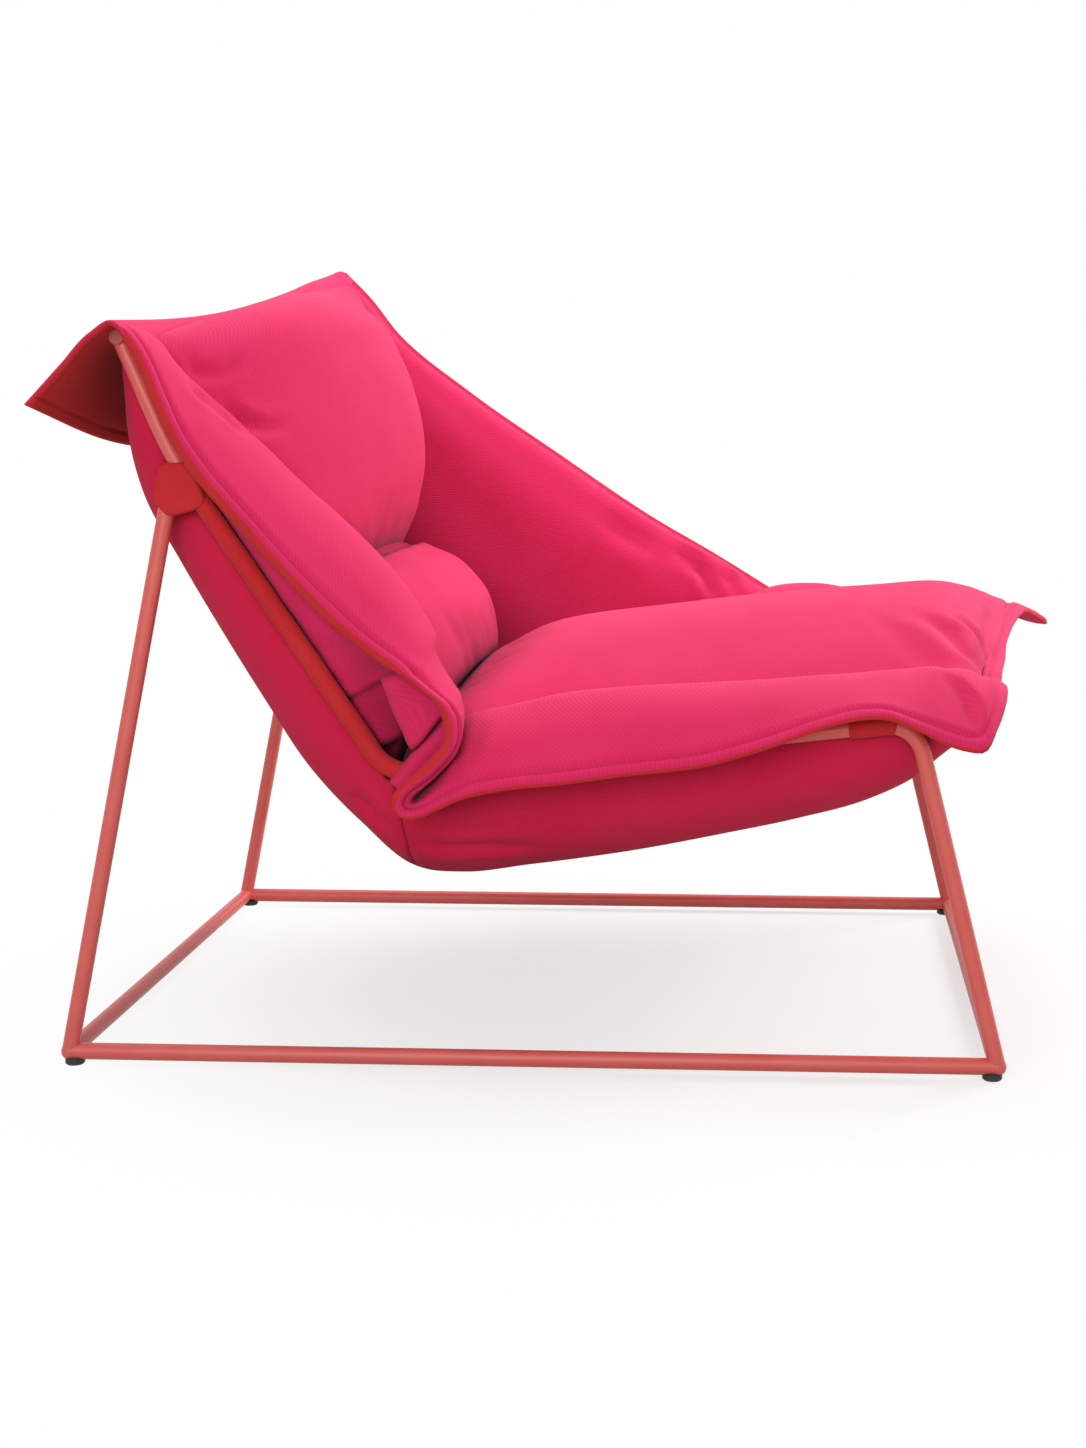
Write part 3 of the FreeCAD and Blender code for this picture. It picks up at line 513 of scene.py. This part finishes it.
# Front: the hem turns the right corner, runs along the seat's edge and lifts to the left corner.
# Each row gives the facing's width, then along, across and over for: hem edge, shoulder, crest, inner seam,
# and the same three spots below.
FRONT_CORNER_RIGHT = [
    (5, (534, -395, -14), (533, -362, 20), (532, -302, 45), (528, -244, 35),
     (528, -244, 12), (532, -305, 12), (533, -356, 4)),
    (5, (553, -395, -22), (550, -364, 9), (543, -310, 43), (533, -250, 36),
     (533, -250, 10), (543, -312, 6), (552, -358, -10)),
    (5, (568, -394, -25), (561, -368, 3), (551, -317, 40), (537, -254, 36),
     (537, -254, 9), (551, -316, 2), (560, -358, -16)),
    (5, (585, -366, -8), (571, -348, 19), (557, -310, 40), (540, -256, 36),
     (540, -256, 8), (557, -310, 0), (572, -348, -12)),
    (5, (598, -330, 9), (583, -318, 27), (565, -297, 39), (543, -256, 35),
     (543, -256, 6), (565, -297, -2), (583, -318, -6)),
    (5, (604, -290, 16), (588, -284, 28), (570, -275, 35), (545, -254, 34),
     (545, -254, 4), (570, -275, -4), (588, -284, -3)),
]
FRONT_EDGE = [
    # across, along, over
    (-245, 602, 12),
    (-200, 607, 18),
    (-100, 620, 23),
    (0, 631, 27),
    (100, 645, 29),
    (180, 658, 31),
    (250, 673, 33),
]
FRONT_CORNER_LEFT = [
    (5, (689, 325, 28), (669, 316, 38), (650, 305, 43), (624, 284, 42),
     (624, 284, 24), (650, 306, 26), (669, 318, 24)),
    (6, (712, 394, 7), (694, 373, 22), (672, 342, 36), (630, 290, 42),
     (630, 290, 24), (668, 338, 22), (690, 369, 10)),
    (6, (686, 396, 20), (676, 374, 30), (658, 338, 38), (626, 286, 40),
     (626, 286, 24), (656, 338, 24), (674, 370, 20)),
    (6, (650, 396, 30), (646, 371, 37), (638, 330, 41), (618, 274, 40),
     (618, 274, 20), (636, 326, 22), (645, 364, 24)),
]
LEFT_SEAT = [
    # along, then heights over the rail: hem edge, shoulder, crest, inner seam
    (606, 36, 44, 46, 40),
    (560, 42, 52, 55, 44),
    (506, 50, 64, 66, 46),
    (432, 74, 85, 82, 44),
    (372, 76, 87, 84, 42),
    (330, 64, 78, 78, 40),
]


def corner_ring(facing, edge, *rest):
    spots = [SEAT.at(*spot) for spot in rest]
    depth = spots[2] - SEAT.at(*edge)
    depth = unit(depth - np.array([0, 0, depth[2]]))
    return border_ring(SEAT.at(*edge), spots[:3], spots[3:], facing, depth)


def front_ring(across, along, over):
    return corner_ring(
        NARROW_FACING,
        (along, across, over),
        (along - 20, across, over + 7), (along - 40, across, over + 12), (along - 62, across, over + 14),
        (along - 62, across, over - 16), (along - 40, across, over - 15), (along - 22, across, over - 12),
    )


def left_seat_ring(along, edge, shoulder, crest, inner):
    return border_ring(
        SEAT.at(along, SEAT_HEM_REACH, edge),
        [SEAT.at(along, 366, shoulder), SEAT.at(along, 316, crest), SEAT.at(along, 250, inner)],
        [SEAT.at(along, 250, inner - 30), SEAT.at(along, 310, 16), SEAT.at(along, 354, 14)],
        NARROW_FACING,
        -TO_LEFT,
    )


BORDER_CREASES = [
    # puckers between wing and pillow, at the tuck's hem, and the roll's folds at the front and the rear
    ([place(78, -330, 690), place(94, -320, 680), place(112, -312, 672)], 4, 8),
    ([place(102, -336, 652), place(114, -330, 641), place(130, -322, 632)], 5, 8),
    ([place(136, -322, 642), place(150, -316, 632), place(168, -310, 620)], 5, 8),
    ([place(256, -354, 460), place(272, -350, 446), place(288, -346, 436)], 4, 9),
    ([place(330, -376, 398), place(350, -380, 386), place(368, -382, 375)], 2, 5),
    ([SEAT.at(545, -322, 36), SEAT.at(560, -348, 16), SEAT.at(563, -378, -14)], 3, 7),
    ([SEAT.at(96, -330, 36), SEAT.at(90, -356, 22), SEAT.at(88, -380, 2)], 2.5, 8),
]


def quilted_border():
    rings = [wing_ring(*station) for station in RIGHT_WING]
    rings += [tuck_ring(*spots) for spots in RIGHT_TUCK]
    rings += [seat_ring(*station) for station in RIGHT_SEAT]
    rings += [corner_ring(*spots) for spots in FRONT_CORNER_RIGHT]
    rings += [front_ring(*station) for station in FRONT_EDGE]
    rings += [corner_ring(*spots) for spots in FRONT_CORNER_LEFT]
    rings += [left_seat_ring(*station) for station in LEFT_SEAT]
    piece = border("quilted_border", rings)
    press(piece, BORDER_CREASES)
    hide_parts("right_wing", "right_tuck", "right_bolster", "front_hem", "left_bolster")


quilted_border()


# Left wing: it stands as a padded wall, with its hem along the crest
CREST = Run((171, 765), (671, 413))
WALL_REACH = 366
LEFT_WING = [
    # along the crest, wall height, sag of the hem, lean outward
    (-62, 104, -15, -4),
    (-20, 130, -7, 0),
    (40, 172, 11, 4),
    (155, 204, 19, 8),
    (296, 250, 18, 10),
    (434, 254, 15, 8),
    (537, 190, 6, 4),
    (614, 130, 1, 0),
]


def wall_ring(along, height, sag, lean):
    """A section of the wall. Its inner face swells up in front of the hem, which shows as a thin band."""
    return border_ring(
        CREST.at(along, WALL_REACH + lean, -sag),
        [CREST.at(along, 352 + lean, -sag - 3), CREST.at(along, 326, -sag - 0.15 * height),
         CREST.at(along, 286, -0.6 * height), CREST.at(along, 232, -16 - height)],
        [CREST.at(along, 330, -height), CREST.at(along, WALL_REACH, -0.56 * height),
         CREST.at(along, 382 + 0.6 * lean, -sag - 0.18 * height)],
        NARROW_FACING,
        unit(CREST.at(along, 400, -40) - CREST.at(along, WALL_REACH, 0)),
        hem=0.5,
    )


WALL_CREASES = [
    # folds that gather at the wall's front end, and one soft dent in its middle
    ([place(556, 330, 472), place(591, 328, 438), place(608, 320, 398)], 9, 10),
    ([place(586, 338, 452), place(612, 336, 428), place(634, 330, 404)], 6, 8),
    ([place(622, 346, 420), place(644, 346, 412), place(664, 342, 408)], 4, 7),
    ([place(470, 300, 520), place(505, 304, 500), place(540, 306, 470)], 5, 14),
]


def left_wing():
    piece = border("left_standing_wing", [wall_ring(*station) for station in LEFT_WING])
    press(piece, WALL_CREASES)
    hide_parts("left_wing")


left_wing()


# Main cushions: crowned pads that lie in the sling
PAD_REACH = 332
PAD_TOP_POINTS = 44
PAD_UNDER_POINTS = 28
HEAD_LINE = [
    # across, forward, height of the seam where the cushion's head meets the folded edge
    (-386, 69, 712),
    (-200, 87, 722),
    (0, 98, 742),
    (200, 124, 773),
    (372, 137, 807),
]


def head_line(across):
    rows = np.array(HEAD_LINE)
    forward = np.polyval(np.polyfit(rows[:, 0], rows[:, 1], 3), across)
    height = np.polyval(np.polyfit(rows[:, 0], rows[:, 2], 3), across)
    return forward, height


def pad_ring(run, along, depth, crown, rim, skew=0.0):
    """A pad's section. Rim gives the heights of its right and left edges over the rails."""
    points = []
    for share in np.linspace(-1, 1, PAD_TOP_POINTS):
        edge = rim[0] + (rim[1] - rim[0]) * (share + 1) / 2
        over = edge + (crown - edge) * (1 - abs(share) ** 2.2) ** 0.9
        points.append(run.at(along + skew * share * PAD_REACH, share * PAD_REACH, over))
    for share in np.linspace(1, -1, PAD_UNDER_POINTS + 2)[1:-1]:
        edge = rim[0] + (rim[1] - rim[0]) * (share + 1) / 2
        over = edge - (depth + edge) * (1 - share ** 6) ** 0.55
        points.append(run.at(along + skew * share * PAD_REACH, share * PAD_REACH, over))
    return np.array(points)


def head_ring(sink, thickness):
    """The pillow's head end, along the head line: sink is how far below the line its upper face lies."""
    points = []
    for share in np.linspace(-1, 1, PAD_TOP_POINTS):
        forward, height = head_line(share * PAD_REACH)
        points.append(place(forward, share * PAD_REACH, height - sink))
    for share in np.linspace(1, -1, PAD_UNDER_POINTS + 2)[1:-1]:
        forward, height = head_line(share * PAD_REACH)
        points.append(place(forward - 0.7 * thickness, share * PAD_REACH, height - sink - 0.7 * thickness))
    return np.array(points)


BACK_PILLOW = [
    # run, along, depth, crown, heights of the right and left edges, skew
    (UPPER, -4, -24, 144, (10, 122), -0.09),
    (UPPER, 16, 8, 167, (10, 120), -0.06),
    (UPPER, 44, 28, 179, (8, 96), -0.03),
    (UPPER, 84, 48, 181, (6, 80)),
    (BACK, 0, 60, 186, (2, 66)),
    (BACK, 74, 67, 161, (0, 24)),
    (BACK, 121, 70, 131, (0, 6)),
    (BACK, 147, 72, 110, (0, 0)),
    (BACK, 160, 72, 84, (0, 0)),
]
LUMBAR = [
    (BACK, 156, 72, 46, (0, 0)),
    (BACK, 168, 73, 74, (36, 0)),
    (BACK, 190, 75, 94, (46, 0)),
    (BACK, 214, 76, 106, (52, 0)),
    (BACK, 256, 77, 114, (56, 0)),
    (BACK, 292, 78, 113, (58, 0)),
    (BACK, 318, 70, 104, (54, 0)),
    (BEND, -3, 66, 86, (44, 0)),
]
SEAT_PAD = [
    (BEND, 2, 66, 84, (40, 0)),
    (SEAT, 66, 108, 86, (30, 0)),
    (SEAT, 106, 108, 94, (16, 0)),
    (SEAT, 150, 106, 99, (4, 0)),
    (SEAT, 260, 98, 101, (0, 0)),
    (SEAT, 380, 83, 102, (0, 2), 0.03),
    (SEAT, 490, 62, 99, (0, 14), 0.07),
    (SEAT, 566, 40, 95, (2, 38), 0.12),
    (SEAT, 598, 20, 85, (6, 46), 0.15),
    (SEAT, 613, 4, 56, (8, 44), 0.15),
    (SEAT, 620, -8, 26, (10, 34), 0.15),
]
SEAT_CREASES = [
    # drag lines from the right front corner, and the sink behind the front hem
    ([SEAT.at(592, -215, 25), SEAT.at(578, -228, 51), SEAT.at(558, -190, 72), SEAT.at(535, -150, 86)], 8, 13),
    ([SEAT.at(598, -160, 32), SEAT.at(584, -150, 62), SEAT.at(562, -140, 82)], 5, 11),
    ([SEAT.at(600, -165, 33), SEAT.at(608, -60, 49), SEAT.at(640, 130, 58)], 6, 13),
]
PILLOW_CREASES = [
    # puckers that run in from the right wing
    ([place(104, -303, 690), place(118, -301, 677), place(136, -288, 677), place(154, -272, 690)], 5, 8),
    ([place(140, -297, 646), place(156, -287, 630), place(176, -271, 622), place(198, -254, 626)], 6, 8),
]
LUMBAR_CREASES = [
    # where the pillow presses into the roll
    ([BACK.at(160, -240, 56), BACK.at(161, 0, 80), BACK.at(160, 260, 50)], 9, 9),
]


def pad(name, rings, node, run, creases):
    piece = cloth_piece(name, even_rows(rings, PAD_SPACING_MM), [PINK], wrap=True, capped=True)
    swell(piece, run)
    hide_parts(node)
    press(piece, creases)


PAD_SPACING_MM = 7
VOXEL_MM = 6
SWELL_PRESSURE = 4
SWELL_FRAMES = 20
SWELL_CAP_MM = 9
SMOOTHING = 10


def settle(piece):
    """The piece's shape with its modifiers, as a mesh of its own."""
    seen = piece.evaluated_get(bpy.context.evaluated_depsgraph_get())
    return bpy.data.meshes.new_from_object(seen)


def swell(piece, run):
    """Fills the pad like stuffed cloth: it swells under pressure, held where it rests in the sling."""
    remesh = piece.modifiers.new("remesh", "REMESH")
    remesh.mode = "VOXEL"
    remesh.voxel_size = VOXEL_MM * MM
    piece.data = settle(piece)
    piece.modifiers.clear()
    over = unit(run.at(0, 0, 1) - run.at(0, 0, 0))
    rests = [v.index for v in piece.data.vertices if v.normal @ Vector(over) < -0.2]
    piece.vertex_groups.new(name="resting").add(rests, 1.0, "REPLACE")
    start = coordinates(piece.data)
    cloth = piece.modifiers.new("stuffing", "CLOTH")
    cloth.settings.use_pressure = True
    cloth.settings.uniform_pressure_force = SWELL_PRESSURE
    cloth.settings.effector_weights.gravity = 0
    cloth.settings.vertex_group_mass = "resting"
    for number in range(1, SWELL_FRAMES + 1):
        bpy.context.scene.frame_set(number)
    swollen = settle(piece)
    moved = coordinates(swollen) - start
    distance = np.linalg.norm(moved, axis=1)
    share = np.minimum(1, SWELL_CAP_MM * MM / np.maximum(distance, 1e-9))
    piece.modifiers.clear()
    piece.vertex_groups.clear()
    bpy.context.scene.frame_set(1)
    shape = start + moved * share[:, None]
    piece.data.vertices.foreach_set("co", shape.ravel())
    ease = piece.modifiers.new("ease", "SMOOTH")
    ease.iterations = SMOOTHING
    piece.data = settle(piece)
    piece.modifiers.clear()
    weave_by_run(piece.data, run)
    piece.data.shade_smooth()


def weave_by_run(mesh, run):
    """Lays the weave along the run and straight across the chair, in metres."""
    shape = coordinates(mesh)
    along = (run.at(1, 0, 0) - run.at(0, 0, 0)) / MM
    flat = np.stack([shape @ along, shape[:, 1]], axis=1)
    corners = np.empty(len(mesh.loops), int)
    mesh.loops.foreach_get("vertex_index", corners)
    layer = mesh.uv_layers.get("weave") or mesh.uv_layers.new(name="weave")
    layer.data.foreach_set("uv", flat[corners].ravel())


def cushions():
    pillow = [head_ring(-1, 10)] + [pad_ring(*station) for station in BACK_PILLOW]
    lumbar = [pad_ring(*station) for station in LUMBAR]
    seat = [pad_ring(*station) for station in SEAT_PAD]
    pad("back_pillow_cushion", pillow, "back_pillow", BACK, PILLOW_CREASES)
    pad("lumbar_cushion", lumbar, "lumbar_roll", BACK, LUMBAR_CREASES)
    pad("seat_cushion", seat, "seat_pad", SEAT, SEAT_CREASES)


cushions()


# Head flap: the cover's head end, folded back over the top bar with its red lining inside
FLAP = [
    # across, then offsets from the head line: front lip, peak, shoulder, hanging middle, hem
    (-387, (4, -8), (-13, 12), (-35, 0), (-63, -30), (-98, -68)),
    (-200, (8, -16), (-16, 11), (-48, -8), (-82, -60), (-101, -112)),
    (0, (8, -16), (-15, 10), (-49, -10), (-92, -76), (-119, -145)),
    (200, (8, -16), (-18, 10), (-56, -16), (-112, -92), (-144, -164)),
    (290, (7, -12), (-17, 10), (-58, -16), (-120, -98), (-156, -170)),
    (366, (3, -4), (-11, 9), (-50, -17), (-115, -100), (-154, -172)),
]
FLAP_THICKNESS = 7
FLAP_ROWS = 260
FLAP_COLUMNS = 80
# Distance from an edge of the flap, and the share of its thickness there, least at edge and stitches
HEM_WIDTHS = (0, 1.5, 10, 12, 13, 14, 17, 26)
HEM_FULLNESS = (0.3, 0.75, 0.85, 0.75, 0.4, 0.75, 0.9, 1.0)


def head_flap():
    """The flap's sections stand across the head line. Its lower and side edges have stitched hems."""
    rings = []
    for across, lip, *offsets in FLAP:
        forward, height = head_line(across)
        spots = [(forward + ahead, height + up) for ahead, up in (lip, (0, 0), *offsets)]
        rings.append(smooth([place(x, across, z) for x, z in spots], FLAP_COLUMNS))
    outer = smooth(rings, FLAP_ROWS)
    slope = np.gradient(outer, axis=1)
    inward = np.stack([-slope[..., 2], np.zeros(slope.shape[:2]), slope[..., 0]], axis=2)
    inward /= np.linalg.norm(inward, axis=2)[..., None]
    along = lengths(outer, 1) / MM
    across = lengths(outer, 0) / MM
    from_hem = np.interp(along[:, -1:] - along, HEM_WIDTHS, HEM_FULLNESS)
    from_side = np.interp(np.minimum(across, across[-1:] - across), HEM_WIDTHS, HEM_FULLNESS)
    inner = outer + inward * (FLAP_THICKNESS * MM * np.minimum(from_hem, from_side))[..., None]
    grid = np.concatenate([outer, inner[:, ::-1]], axis=1)
    piece = cloth_piece("head_flap_cloth", grid, [PINK, RED], wrap=True, capped=True,
                        second=range(FLAP_COLUMNS - 1, 2 * FLAP_COLUMNS))
    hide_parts("head_flap")


head_flap()


def thicken(piece, thickness, offset):
    """Gives a single layer of cloth its thickness in millimetres: inside at offset -1, both ways at 0."""
    wall = piece.modifiers.new("cloth", "SOLIDIFY")
    wall.thickness = thickness * MM
    wall.offset = offset


# Sling: one cloth hung between the rails, with a seam at the seat corner
SLING = [
    # run, along, depth below the rail, and near the front the skew of its edge
    (UPPER, 14, 16),
    (UPPER, 36, 30),
    (UPPER, 78, 52),
    (BACK, 0, 68),
    (BACK, 75, 77),
    (BACK, 155, 83),
    (BACK, 240, 87),
    (BACK, 318, 88),
    (BEND, -12, 80),
    (SEAT, 4, 116),
    (SEAT, 46, 125),
    (SEAT, 110, 124),
    (SEAT, 226, 119),
    (SEAT, 310, 111),
    (SEAT, 388, 102),
    (SEAT, 458, 89),
    (SEAT, 500, 73),
    (SEAT, 540, 50, 0.03),
    (SEAT, 576, 30, 0.07),
    (SEAT, 606, 2, 0.1),
    (SEAT, 616, -12, 0.11),
]
# The seam lies at the tenth station, where the seat begins
SLING_SEAM = 9
SLING_CREASES = [
    # the drag lines that run forward from the seam on the right side, and the fold behind it
    ([place(328, -324, 219), place(366, -318, 214), place(400, -316, 211), place(460, -307, 208)], 5, 9),
    ([place(270, -332, 262), place(290, -330, 247), place(314, -326, 225)], 6, 9),
    ([place(345, -328, 232), place(372, -326, 230), place(410, -324, 230)], 3, 9),
]
SLING_REACH = 341
SLING_RIM = -6
SLING_RIM_AT_BEND = 3
SLING_ROWS = 260
SLING_COLUMNS = 190
SLING_THICKNESS = 3
SEAM_DEPTH = 3
SEAM_HALF_WIDTH = 2


def sling_ring(run, along, depth, skew=0.0):
    """A section of the sling, with more points near its rims, where it turns most."""
    rim = SLING_RIM_AT_BEND if run is BEND else max(SLING_RIM, -depth)
    ring = []
    for turn in np.linspace(-math.pi / 2, math.pi / 2, 2 * SLING_COLUMNS):
        share = math.sin(turn)
        curve = (1 - abs(share) ** 7) ** 0.5
        spot = along + skew * share * SLING_REACH
        ring.append(run.at(spot, share * SLING_REACH, rim - (depth + rim) * curve))
    return ring


def sew(grid, line):
    """Draws the cloth in along one row, as a sewn seam does: a narrow groove where the two panels meet."""
    row = np.linalg.norm(grid - line, axis=2).mean(axis=1).argmin()
    step = grid[row + 1] - grid[row - 1]
    step /= np.linalg.norm(step, axis=1)[:, None]
    inward = np.cross(step, np.gradient(grid[row], axis=0))
    inward /= np.linalg.norm(inward, axis=1)[:, None]
    grid[row - 1] = grid[row] - SEAM_HALF_WIDTH * MM * step
    grid[row + 1] = grid[row] + SEAM_HALF_WIDTH * MM * step
    grid[row] += SEAM_DEPTH * MM * inward


def sling():
    rings = [smooth(sling_ring(*station), SLING_COLUMNS) for station in SLING]
    grid = smooth(rings, SLING_ROWS)
    sew(grid, rings[SLING_SEAM])
    piece = cloth_piece("hung_sling", grid, [SHELL])
    press(piece, SLING_CREASES)
    thicken(piece, SLING_THICKNESS, 0)
    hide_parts("sling_back_panel", "sling_seat_panel")


sling()


# Red canvas sleeves round the rails, and pockets over the joints
CORNER_BEND = 45
FRONT_BEND = 34
FRONT_FOOT = (900, 12.5)
SLEEVE_RADIUS = TUBE_RADIUS + 1.3
SLEEVE_RUCK = 0.25
# Start and end of each sleeve in millimetres along the rail from the joint
SLEEVES = {"back_sleeve": (44, 392), "seat_sleeve": (394, 646), "front_sleeve": (807, 853)}
SIDES = {"right": -1, "left": 1}


def rail_line():
    """Forward and height along the rail's bent centre line, every millimetre from the joint."""
    spots = [np.array(spot, float) for spot in (JOINT, CORNER, FRONT, FRONT_FOOT)]
    line = [spots[0]]
    for before, spot, after, radius in zip(spots, spots[1:], spots[2:], (CORNER_BEND, FRONT_BEND)):
        back = unit(before - spot)
        ahead = unit(after - spot)
        half = math.acos(back @ ahead) / 2
        centre = spot + unit(back + ahead) * radius / math.sin(half)
        first = unit(spot + back * radius / math.tan(half) - centre)
        last = unit(spot + ahead * radius / math.tan(half) - centre)
        sweep = math.pi - 2 * half
        for share in np.linspace(0, 1, 24):
            turned = first * math.sin((1 - share) * sweep) + last * math.sin(share * sweep)
            line.append(centre + radius * turned / math.sin(sweep))
    line = np.array([*line, spots[-1]])
    run = np.concatenate([[0], np.cumsum(np.linalg.norm(np.diff(line, axis=0), axis=1))])
    wanted = np.arange(0, run[-1])
    return np.stack([np.interp(wanted, run, line[:, 0]), np.interp(wanted, run, line[:, 1])], axis=1)


RAIL = rail_line()


def sleeve(side, name, start, stop):
    around = 28
    rings = []
    for along in range(start, stop + 1, 3):
        ahead = unit(RAIL[along + 2] - RAIL[along - 2])
        ring = []
        for turn in np.linspace(0, 2 * math.pi, around, endpoint=False):
            radius = SLEEVE_RADIUS + SLEEVE_RUCK * math.sin(3 * turn + along / 9) * math.sin(along / 23)
            forward, height = RAIL[along] + radius * math.sin(turn) * np.array([-ahead[1], ahead[0]])
            ring.append(place(forward, SIDES[side] * HALF_WIDTH + radius * math.cos(turn), height))
        rings.append(ring)
    piece = cloth_piece(f"{side}_{name}_cloth", np.array(rings), [RED], wrap=True)
    thicken(piece, 1, -1)
    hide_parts(f"{side}_{name}")


# Corners forward and up from the joint, then half of the pocket's width with the share of the outline there
POCKET = [(-13, 0), (17, 1), (36, -42), (-5, -54), (-20, -38)]
POCKET_HALF = [(11.5, 0.5), (11.5, 0.86), (10.5, 0.95), (7, 1)]
CORNER_CUT = 0.16


def joint_pocket(side):
    """A sewn canvas pocket round the joint, with rounded edges."""
    corners = np.array([(JOINT[0] + x, 0, JOINT[1] + z) for x, z in POCKET], float)
    middle = corners.mean(axis=0)
    outline = []
    for index, corner in enumerate(corners):
        before = corners[index - 1]
        after = corners[(index + 1) % len(corners)]
        for share in np.linspace(0, 1, 5):
            first = corner + (before - corner) * CORNER_CUT * (1 - share)
            outline.append(first + (after - corner) * CORNER_CUT * share)
    outline = np.array(outline)
    rings = []
    for across, scale in [(-across, scale) for across, scale in POCKET_HALF] + POCKET_HALF[::-1]:
        ring = middle + (outline - middle) * scale
        rings.append([place(x, SIDES[side] * HALF_WIDTH + across, z) for x, _, z in ring])
    piece = cloth_piece(f"{side}_joint_pocket", np.array(rings), [RED], wrap=True, capped=True)
    rounder = piece.modifiers.new("rounder", "SUBSURF")
    rounder.levels = rounder.render_levels = 2
    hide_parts(f"{side}_joint_patch")


for side in SIDES:
    for name, (start, stop) in SLEEVES.items():
        sleeve(side, name, start, stop)
    joint_pocket(side)


# Floor, light and camera
LAMPS = {
    # spot, side and power, in metres and watts
    "overhead": ((-0.35, 0.4, 2.2), 1.6, 22),
    "key": ((2.0, 1.2, 1.6), 1.2, 54),
    "side_fill": ((-0.4, -3.0, 1.2), 1.6, 36),
}
LAMP_TARGET = (0, 0, 0.4)


def studio():
    """Soft lamps in a white room, which shows white but lights the chair at a plain level."""
    scene = bpy.context.scene
    scene.view_settings.view_transform = "Standard"
    world = bpy.data.worlds.new("studio")
    scene.world = world
    world.use_nodes = True
    tree = world.node_tree
    backdrop = tree.nodes["Background"]
    strength = add(tree, "ShaderNodeMapRange", {"Value": seen_directly(tree), "To Min": 0.4, "To Max": 1.0})
    backdrop.inputs["Color"].default_value = (1, 1, 1, 1)
    tree.links.new(strength.outputs["Result"], backdrop.inputs["Strength"])
    for name, (spot, side_m, watts) in LAMPS.items():
        lamp(name, spot, side_m, watts)


def lamp(name, spot, side_m, watts):
    light = bpy.data.lights.new(name, "AREA")
    light.size = side_m
    light.energy = watts
    holder = bpy.data.objects.new(name, light)
    holder.location = spot
    holder.rotation_mode = "QUATERNION"
    holder.rotation_quaternion = (Vector(LAMP_TARGET) - Vector(spot)).to_track_quat("-Z", "Y")
    bpy.context.scene.collection.objects.link(holder)


def floor():
    """A matte floor: white to the eye further off, with the chair's soft shadow near it."""
    material, tree, shader = new_material("pale_matte_floor")
    solid = add(tree, "ShaderNodeTexCoord").outputs["Object"]
    cloud = add(tree, "ShaderNodeTexNoise", {"Vector": solid, "Scale": noise_scale(400), "Detail": 2.0})
    tone = add(tree, "ShaderNodeValToRGB", {"Fac": cloud.outputs["Fac"]})
    tone.color_ramp.elements[0].color = linear("#f4f4f4")
    tone.color_ramp.elements[1].color = linear("#fafafa")
    tree.links.new(tone.outputs["Color"], shader.inputs["Base Color"])
    shader.inputs["Roughness"].default_value = 0.8
    shader.inputs["Specular IOR Level"].default_value = 0.1
    white = add(tree, "ShaderNodeEmission", {"Color": (1, 1, 1, 1), "Strength": 1.0})
    dim = add(tree, "ShaderNodeBsdfDiffuse", {"Color": linear("#b4b1af")})
    centred = add(tree, "ShaderNodeVectorMath", {0: solid, 1: (0.1, 0, 0)}, operation="SUBTRACT")
    distance = add(tree, "ShaderNodeVectorMath", {0: centred.outputs["Vector"]}, operation="LENGTH")
    far = add(tree, "ShaderNodeMapRange", {"Value": distance.outputs["Value"], "From Min": 0.2,
              "From Max": 0.85, "To Min": 0.62, "To Max": 1.0}, interpolation_type="SMOOTHSTEP")
    shown = add(tree, "ShaderNodeMixShader", {0: far.outputs["Result"], 1: shader.outputs["BSDF"],
                2: white.outputs["Emission"]})
    surface = add(tree, "ShaderNodeMixShader", {0: seen_directly(tree), 1: dim.outputs["BSDF"],
                  2: shown.outputs["Shader"]})
    tree.links.new(surface.outputs["Shader"], tree.nodes["Material Output"].inputs["Surface"])
    mesh = bpy.data.meshes.new("floor")
    mesh.from_pydata([(-6, -6, 0), (6, -6, 0), (6, 6, 0), (-6, 6, 0)], [], [(0, 1, 2, 3)])
    mesh.materials.append(material)
    piece = bpy.data.objects.new("floor", mesh)
    bpy.context.scene.collection.objects.link(piece)


def camera():
    """The photo's viewing angle."""
    lens = bpy.data.cameras.new("photo_view")
    lens.lens = 55.612
    lens.shift_x = -0.085
    lens.shift_y = -0.18
    holder = bpy.data.objects.new("photo_view", lens)
    holder.location = (0.2118, -2.4829, 0.6414)
    pitch_down = 1.444
    turn_left = 3.391
    holder.rotation_euler = (math.radians(90 - pitch_down), 0, math.radians(turn_left))
    bpy.context.scene.collection.objects.link(holder)
    bpy.context.scene.camera = holder


studio()
floor()
camera()
